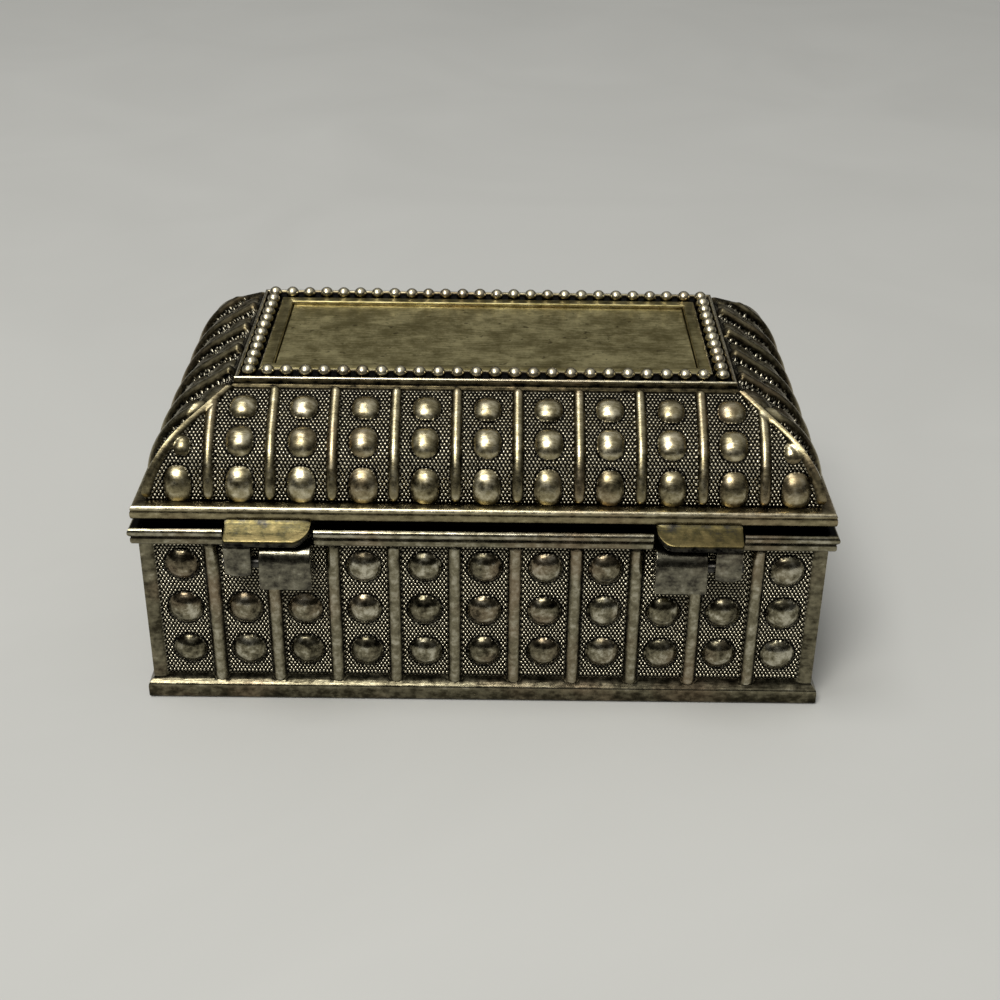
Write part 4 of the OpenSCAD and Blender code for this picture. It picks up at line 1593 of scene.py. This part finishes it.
@dataclass
class PadForm:
    """A flat-backed pad: its half sizes, thickness, rolled edge and crown, in millimetres."""

    half_a: float
    half_b: float
    thickness: float
    roll: float
    crown: float
    seed: int
    wave: float = 0.0

    def sheets(self, cols: int, rows: int) -> tuple[np.ndarray, np.ndarray, np.ndarray]:
        """Places of a grid over the pad and the height of its face there.

        The grid is closer near the edges, a = A sin(90 degrees s). With d the distance from the
        edge, the height is roll sqrt(1 - (1 - d / roll)^2), and the crown adds
        (1 - s^4)(1 - t^4) of itself; at the edge the height is 0, so face and back meet.

        Args:
            cols: points across.
            rows: points up.

        Returns:
            The places a and b, and the height.
        """
        s = np.sin(math.pi / 2 * np.linspace(-1, 1, cols))[None, :]
        t = np.sin(math.pi / 2 * np.linspace(-1, 1, rows))[:, None]
        a, b = np.broadcast_arrays(self.half_a * s, self.half_b * t)
        near = np.minimum(self.half_a * (1 - np.abs(s)), self.half_b * (1 - np.abs(t)))
        rise = self.roll * np.sqrt(1 - (1 - np.clip(near / self.roll, 0, 1)) ** 2)
        flat = self.thickness - self.crown - self.wave - self.roll
        rise = rise + (flat + self.crown * (1 - s**4) * (1 - t**4)) * ramp(near, 0, self.roll)
        rise = rise + ripple(a, b, self.seed, 11.0, self.wave) * ramp(near, 0, 3 * self.roll)
        return a, b, np.minimum(rise, self.thickness)

    def add(self, draft: Draft, place: Callable, cols: int, rows: int) -> None:
        """Adds the pad's face and back to a piece.

        Args:
            draft: the piece.
            place: turns a, b and height over the back into points of the box.
            cols: points across.
            rows: points up.
        """
        a, b, rise = self.sheets(cols, rows)
        surface = np.stack([a, b], axis=-1)
        face = draft.add_points(place(a, b, rise), surface)
        draft.add_faces(grid_quads(rows, cols, face))
        back = draft.add_points(place(a, b, np.zeros_like(rise)), surface)
        draft.add_faces(grid_quads(rows, cols, back)[:, ::-1])


def swell(draft: Draft, name: str, cap: float) -> bpy.types.Mesh:
    """Fills a pad like wadding under cloth: remesh, cloth under pressure, then one subdivision.

    The pad is made SIM_SCALE times larger for the simulation, its back is pinned, and no point moves
    further than the cap. It gives the same result on each run.

    Args:
        draft: the pad, with its back at height 0.
        name: name of the mesh.
        cap: how far a point may move, in millimetres.

    Returns:
        The swollen mesh, in millimetres, with its back at height 0.
    """
    mesh = bpy.data.meshes.new(name)
    points = np.concatenate(draft.points) * SIM_SCALE * MM
    faces = np.concatenate([c.reshape(-1, 4) for c in draft.corners])
    mesh.from_pydata(points.tolist(), [], faces.tolist())
    merge_seams(mesh, 2e-4)
    pad = bpy.data.objects.new(name, mesh)
    bpy.context.scene.collection.objects.link(pad)
    remesh = pad.modifiers.new("remesh", "REMESH")
    remesh.mode, remesh.voxel_size, remesh.use_smooth_shade = "VOXEL", 0.018, True
    mesh = bpy.data.meshes.new_from_object(pad.evaluated_get(bpy.context.evaluated_depsgraph_get()))
    pad.modifiers.clear()
    pad.data = mesh
    start = np.empty(len(mesh.vertices) * 3, np.float32)
    mesh.vertices.foreach_get("co", start)
    start = start.reshape(-1, 3).astype(float)
    pinned = pad.vertex_groups.new(name="back")
    pinned.add(np.flatnonzero(start[:, 2] < 0.004).tolist(), 1.0, "REPLACE")
    cloth = pad.modifiers.new("cloth", "CLOTH").settings
    cloth.use_pressure, cloth.uniform_pressure_force = True, 4.0
    cloth.effector_weights.gravity = 0.0
    cloth.vertex_group_mass = "back"
    cloth.quality, cloth.mass = 6, 0.3
    cloth.tension_stiffness = cloth.compression_stiffness = 12.0
    cloth.shear_stiffness, cloth.bending_stiffness = 4.0, 0.4
    cloth.shrink_min = -0.03
    scene = bpy.context.scene
    for frame_number in range(1, 21):
        scene.frame_set(frame_number)
    moved = bpy.data.meshes.new_from_object(pad.evaluated_get(bpy.context.evaluated_depsgraph_get()))
    scene.frame_set(1)
    pad.modifiers.clear()
    pad.data = mesh = moved
    end = np.empty(len(mesh.vertices) * 3, np.float32)
    mesh.vertices.foreach_get("co", end)
    shift = end.reshape(-1, 3) - start
    far = np.linalg.norm(shift, axis=1, keepdims=True)
    limit = cap * SIM_SCALE * MM
    start = start + shift * np.minimum(1, limit / np.maximum(far, 1e-9))
    LOG.info("%s: cloth moved points by up to %.2f mm", name, far.max() / MM / SIM_SCALE)
    mesh.vertices.foreach_set("co", (start / SIM_SCALE / MM).astype(np.float32).ravel())
    pad.vertex_groups.clear()
    smooth = pad.modifiers.new("smooth", "SUBSURF")
    smooth.levels = smooth.render_levels = 1
    done = bpy.data.meshes.new_from_object(pad.evaluated_get(bpy.context.evaluated_depsgraph_get()))
    bpy.data.objects.remove(pad)
    done.name = name
    return done


@dataclass
class Lining:
    """Velvet on the floor, the walls and inside the lid, and the felt under the base."""

    line: BeadLine

    def cushion(self, node: str, body: str, material: bpy.types.Material, down: bool) -> None:
        """Builds one padded cushion in the space of its CAD node.

        The pad swells by simulation and is then fitted to the node's box, so the whole of it
        stays inside.

        Args:
            node: the CAD node that it replaces.
            body: the body it rides on.
            material: its velvet.
            down: True for the cushion that hangs in the lid.
        """
        low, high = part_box(node)
        half = np.array([high.x - low.x, high.y - low.y]) / MM / 2
        thick = (high.z - low.z) / MM
        draft = Draft(node)
        form = PadForm(half[0] - 0.35, half[1] - 0.35, 0.78 * thick, 0.42 * thick, 0.2 * thick, 3 + down, 0.12)
        form.add(draft, lambda a, b, h: np.stack([a, b, h], axis=-1), 61, 41)
        mesh = swell(draft, f"{node}_velvet", 1.1)
        points = np.empty(len(mesh.vertices) * 3, np.float32)
        mesh.vertices.foreach_get("co", points)
        points = points.reshape(-1, 3).astype(float)
        lowest, highest = points.min(axis=0), points.max(axis=0)
        size = np.array([2 * half[0] - 0.1, 2 * half[1] - 0.1, thick - 0.02])
        points = (points - (lowest + highest) / 2) / (highest - lowest) * size
        points[:, 2] += size[2] / 2
        points[:, 2] *= 1 - self.puckers(points, size / 2)
        points[:, 2] *= -1 if down else 1
        points[:, 2] += (high.z / MM - 0.01) if down else (low.z / MM + 0.01)
        mesh.vertices.foreach_set("co", (points * MM).astype(np.float32).ravel())
        if down:
            mesh.flip_normals()
        mesh.shade_smooth()
        pad = hang(f"{node}_velvet", mesh, body, material, (node,))

    def puckers(self, points: np.ndarray, half: np.ndarray) -> np.ndarray:
        """Share by which the cloth sinks in the puckers that its pull round the card leaves.

        With d the distance from the nearest edge and s the place along it, the share is
        0.055 (1 + sin(2 pi s / 7.3 + 1.7 sin(s / 5))) exp(-(d / 5)^2), all in millimetres.

        Args:
            points: points of the pad, about its middle.
            half: half sizes of the pad.

        Returns:
            The share of the height that is lost at each point.
        """
        from_x = half[0] - np.abs(points[:, 0])
        from_y = half[1] - np.abs(points[:, 1])
        along = np.where(from_x < from_y, points[:, 1], points[:, 0] + 2.1)
        near = np.minimum(from_x, from_y)
        wave = 1 + np.sin(2 * math.pi * along / 7.3 + 1.7 * np.sin(along / 5))
        corner = ramp(np.abs(from_x - from_y), 0.0, 3.0)
        return 0.055 * wave * corner * np.exp(-((near / 5) ** 2))

    def wall(self, node: str, side: Side, material: bpy.types.Material, seed: int) -> None:
        """Builds one velvet-covered card, crowned towards the inside of the box.

        Args:
            node: the CAD node that it replaces.
            side: the wall that it stands against.
            material: its velvet.
            seed: seed of its small waves.
        """
        low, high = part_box(node)
        wide, far = high.x - low.x, high.y - low.y
        long, deep = (wide, far) if side.is_long else (far, wide)
        back = (max(abs(low.y), abs(high.y)) if side.is_long else max(abs(low.x), abs(high.x))) / MM
        middle = (low.z + high.z) / 2 / MM
        form = PadForm(long / MM / 2 - 0.05, (high.z - low.z) / MM / 2, deep / MM, 0.5, 0.45, seed, 0.06)
        draft = Draft(f"{node}_velvet")

        def place(a: np.ndarray, b: np.ndarray, rise: np.ndarray) -> np.ndarray:
            """Puts the pad's back against the wall and its face towards the inside.

            Args:
                a: places across the pad.
                b: places up the pad.
                rise: height of the pad over its back.

            Returns:
                Points of the box.
            """
            reach = back - rise - self.line.half_across(side)
            return self.line.place(side, -a, reach, middle + b)

        form.add(draft, place, 81 if side.is_long else 57, 33)
        card = draft.make("base", material, (node,), sharp_deg=70)

    def lid_shell(self, material: bpy.types.Material) -> None:
        """Builds the velvet glued to the slopes inside the lid, rolled in at its lower edge.

        The outline follows two shoulders of the lid's own surface, 0.9 mm apart.

        Args:
            material: its velvet.
        """
        low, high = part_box("lid_lining")
        lid = LidCasting(self.line)
        slope = math.radians(lid.slope_deg)

        def arc(radius: float) -> np.ndarray:
            """Outline of one shoulder, from the lining's lower edge up to its top.

            Args:
                radius: radius of the shoulder.

            Returns:
                Rows of reach and height.
            """
            drop = (math.acos((low.z / MM + 0.35 - lid.centre_z) / radius) - slope) * radius
            rise = (lid.centre_z + radius * math.cos(slope) - high.z / MM + 0.02) / math.sin(slope)
            down = np.concatenate([np.linspace(drop, 0, 14), np.linspace(0, rise, 8)[1:]])
            return lid.surface(down, radius)[:, :2]

        outer, inner = arc(lid.inner_r - 0.03), arc(lid.inner_r - 0.9 + 0.02)
        foot = (outer[0] + inner[0]) / 2
        roll = np.array([
            [inner[0, 0] + 0.1, foot[1] - 0.22], [foot[0], foot[1] - 0.33], [outer[0, 0] - 0.1, foot[1] - 0.22],
        ])
        ring = np.concatenate([outer, inner[::-1], roll, outer[:1]])
        outline = np.concatenate([ring, np.full((len(ring), 1), 0.5)], axis=1)
        draft = Draft("lid_lining_velvet")
        carry_round(draft, self.line, outline)
        shell = draft.make("lid", material, ("lid_lining",), sharp_deg=60)

    def foot_felt(self, material: bpy.types.Material) -> None:
        """Builds the felt laid in the hollow under the floor, a little uneven on both faces.

        Args:
            material: its felt.
        """
        low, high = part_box("base_felt")
        thick = (high.z - low.z) / MM
        half = (high.x - low.x) / MM / 2 - 0.1, (high.y - low.y) / MM / 2 - 0.1
        form = PadForm(half[0], half[1], thick, 0.3, 0.0, 31, 0.08)
        draft = Draft("base_felt_pressed")
        form.add(draft, lambda a, b, h: np.stack([-a, b, high.z / MM - h], axis=-1), 81, 57)
        felt = draft.make("base", material, ("base_felt",), sharp_deg=70)

    def build(self, velvet: bpy.types.Material, felt: bpy.types.Material) -> None:
        """Builds all soft pieces.

        Args:
            velvet: the finish of the linings and cushions.
            felt: the finish of the felt underneath.
        """
        self.cushion("floor_cushion", "base", velvet, down=False)
        self.cushion("lid_cushion", "lid", velvet, down=True)
        walls = (
            ("rear_lining", Side.HINGE), ("right_lining", Side.RIGHT),
            ("front_lining", Side.FRONT), ("left_lining", Side.LEFT),
        )
        for seed, (node, side) in enumerate(walls):
            self.wall(node, side, velvet, 40 + seed)
        self.lid_shell(velvet)
        self.foot_felt(felt)


@dataclass
class TopPlate:
    """The plain plate let into the top, and the satin face of the frame round it."""

    line: BeadLine

    def build(self, material: bpy.types.Material) -> bpy.types.Object:
        """Builds the plate as a closed slab in the space of its CAD node.

        Its outline is carried round to the middle line, where the four strips meet.

        Args:
            material: its finish.

        Returns:
            The object.
        """
        low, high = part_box("engraving_plate")
        edge = (high.x - low.x) / MM / 2 - self.line.half_x
        bottom, top = low.z / MM, high.z / MM
        middle = -self.line.half_y
        rounded = soften(
            [(edge - 0.1, bottom, 0.5), (edge, bottom + 0.1, 0.5), (edge, top - 0.12, 0.5),
             (edge - 0.16, top, 0.5), (edge - 0.6, top, 0.5)], 0.1,
        )
        outline = np.concatenate([[(middle, bottom, 0.5)], rounded, [(middle, top, 0.5)]])
        draft = Draft("top_plate_satin")
        carry_round(draft, self.line, outline)
        return draft.make("lid", material, ("engraving_plate",))

    def frame_face(self, material: bpy.types.Material) -> bpy.types.Object:
        """Builds the face of the frame between the beads and the plate.

        Args:
            material: its finish.

        Returns:
            The object.
        """
        outline = [
            (-1.4, 46.4, 0.5), (-3.1, 46.4, 0.5), (-3.1, 46.7, 0.5), (-2.98, 46.8, 0.5),
            (-1.55, 46.8, 0.5), (-1.4, 46.7, 0.5), (-1.4, 46.4, 0.5),
        ]
        draft = Draft("top_frame_satin")
        carry_round(draft, self.line, np.array(outline)[::-1])
        return draft.make("lid", material, ("lid_casting",))


@dataclass
class Studio:
    """Pale floor, soft lamps, dim room and the photograph's camera."""

    def camera(self) -> None:
        """Places the camera where the fit to the bead rectangle puts it."""
        pitch, yaw, roll = 0.511609, 0.0014075, 0.0123092
        forward = np.array([math.sin(yaw) * math.cos(pitch), math.cos(yaw) * math.cos(pitch), -math.sin(pitch)])
        right = np.array([math.cos(yaw), -math.sin(yaw), 0.0])
        up = np.cross(right, forward)
        tilted_right = right * math.cos(roll) + up * math.sin(roll)
        tilted_up = up * math.cos(roll) - right * math.sin(roll)
        turn = np.stack([tilted_right, tilted_up, -forward], axis=1)
        data = bpy.data.cameras.new("camera")
        data.sensor_width = 36.0
        data.lens = 36.0 * 1.55453
        camera = bpy.data.objects.new("camera", data)
        bpy.context.scene.collection.objects.link(camera)
        camera.matrix_world = Matrix.Translation((0.00199, -0.2205, 0.14123)) @ Matrix(turn.tolist()).to_4x4()
        data.clip_start, data.clip_end = 0.01, 50.0
        bpy.context.scene.camera = camera

    def lamp(
        self,
        name: str,
        place: tuple[float, float, float],
        target: tuple[float, float, float],
        size: tuple[float, float],
        watts: float,
        colour: str,
    ) -> None:
        """Adds one rectangular lamp.

        Args:
            name: its name.
            place: where it stands, in metres.
            target: the point it faces.
            size: its two sides, in metres.
            watts: its power.
            colour: its colour in sRGB.
        """
        data = bpy.data.lights.new(name, "AREA")
        data.shape = "RECTANGLE"
        data.size, data.size_y = size
        data.energy = watts
        data.color = linear(colour)[:3]
        lamp = bpy.data.objects.new(name, data)
        bpy.context.scene.collection.objects.link(lamp)
        back = np.array(place) - np.array(target)
        back = back / np.linalg.norm(back)
        side = np.cross((0.0, 1.0, 0.001), back)
        side = side / np.linalg.norm(side)
        turn = np.stack([side, np.cross(back, side), back], axis=1)
        lamp.matrix_world = Matrix.Translation(place) @ Matrix(turn.tolist()).to_4x4()

    def floor(self) -> None:
        """Lays the floor, a pale laminate with faint clouds."""
        material, tree, shader = new_material("pale_laminate")
        place = add_node(tree, "ShaderNodeTexCoord").outputs["Object"]
        # Clouds 80 mm across, a shade or two apart
        clouds = add_node(
            tree,
            "ShaderNodeTexNoise",
            inputs={"Vector": place, "Scale": 12.0, "Detail": 3.0, "Distortion": 1.2},
        ).outputs["Fac"]
        colour = add_node(
            tree,
            "ShaderNodeMix",
            {"data_type": "RGBA"},
            {0: clouds, 6: linear("c4c4c0"), 7: linear("cfcfcb")},
        ).outputs[2]
        tree.links.new(colour, shader.inputs["Base Color"])
        shader.inputs["Roughness"].default_value = 0.5
        shader.inputs["Specular IOR Level"].default_value = 0.3
        mesh = bpy.data.meshes.new("floor")
        corners = [(-6, -6, 0), (6, -6, 0), (6, 6, 0), (-6, 6, 0)]
        mesh.from_pydata(corners, [], [(0, 1, 2, 3)])
        mesh.materials.append(material)
        floor = bpy.data.objects.new("floor", mesh)
        bpy.context.scene.collection.objects.link(floor)

    def room(self) -> None:
        """Lights the room: dark at the horizon and soft grey overhead."""
        world = bpy.data.worlds.new("room")
        bpy.context.scene.world = world
        world.use_nodes = True
        tree = world.node_tree
        tree.nodes.clear()
        direction = add_node(tree, "ShaderNodeTexCoord").outputs["Generated"]
        upward = add_node(tree, "ShaderNodeSeparateXYZ", inputs={0: direction}).outputs["Z"]
        height = add_node(
            tree,
            "ShaderNodeMapRange",
            {"interpolation_type": "SMOOTHSTEP"},
            {"Value": upward, "From Min": 0.3, "From Max": 0.95},
        ).outputs["Result"]
        colour = add_node(
            tree,
            "ShaderNodeMix",
            {"data_type": "RGBA"},
            {0: height, 6: linear("2e2e2d"), 7: linear("b4b4b2")},
        ).outputs[2]
        # The camera sees a plain grey backdrop in place of the dark horizon
        seen = add_node(tree, "ShaderNodeLightPath").outputs["Is Camera Ray"]
        shown = add_node(
            tree,
            "ShaderNodeMix",
            {"data_type": "RGBA"},
            {0: seen, 6: colour, 7: linear("8a8a87")},
        ).outputs[2]
        glow = add_node(tree, "ShaderNodeBackground", inputs={"Color": shown, "Strength": 1.0})
        add_node(tree, "ShaderNodeOutputWorld", inputs={"Surface": glow.outputs[0]})

    def build(self) -> None:
        """Builds the whole studio."""
        self.camera()
        self.floor()
        self.room()
        self.lamp("key", (-0.36, -0.82, 1.26), (0, 0, 0.02), (0.64, 0.56), 14.6, "fffdf8")
        self.lamp("top", (-0.3, -0.05, 1.2), (0, 0, 0.02), (0.5, 0.4), 3.4, "fcfdff")


def main() -> None:
    """Builds the box piece by piece."""
    logging.basicConfig(level=logging.INFO, format="%(name)s: %(message)s")
    bpy.context.scene.view_settings.view_transform = "Standard"
    line = BeadLine.from_frame()
    LOG.info("bead rectangle %.3f by %.3f mm", 2 * line.half_x, 2 * line.half_y)
    Studio().build()
    # The base's high, middle and low colours are darker than the lid's: painted shade for its upright sides.
    shaded_base_metal = AntiquedSilverPlate(
        "antiqued_silver_base_shaded", high="cbc6b2", middle="807a64", low="3c382b", tarnish=0.8,
        rough_low=0.13, rough_high=0.3,
    ).material()
    lid_metal = AntiquedSilverPlate("antiqued_silver_lid").material()
    plate_metal = SatinPlate("satin_plate_top").material()
    frame_metal = SatinPlate("satin_frame_top", clear="c9bd8b", tarnished="887c4e").material()
    knuckle_metal = AntiquedSilverPlate(
        "antiqued_silver_knuckles", high="b5b1a2", middle="7c7868", low="45423a", copper_share=0.25,
        tarnish=0.6, rough_low=0.12, rough_high=0.26, calm=1.0,
    ).material()
    leaf_metal = AntiquedSilverPlate(
        "worn_plate_leaf", high="7a6d48", middle="575034", low="3b3933", copper="6c5e3a",
        copper_share=0.3, tarnish=0.7, rough_low=0.25, rough_high=0.42, calm=1.0,
    ).material()
    steel = DrawnSteel("drawn_steel_pin").material()
    velvet = CutPileVelvet("wine_velvet").material()
    card = FibreSheet("grey_board", "4e473c", "6e6558").material()
    felt = FibreSheet("black_felt", "0c0c0e", "232326", 1100.0, 0.0004).material()

    BaseCasting(line).build(shaded_base_metal)
    lid = LidCasting(line)
    lid.build(lid_metal)
    lid.beads(lid_metal)
    HingePair().build(knuckle_metal, leaf_metal)
    top = TopPlate(line)
    top.build(plate_metal)
    top.frame_face(frame_metal)
    Lining(line).build(velvet, felt)
    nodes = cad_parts
    finishes = {
        "left_hinge_pin": steel, "right_hinge_pin": steel, "floor_board": card, "lid_board": card,
    }
    for name, material in finishes.items():
        nodes[name].data.materials.clear()
        nodes[name].data.materials.append(material)


if __name__ == "__main__":
    main()
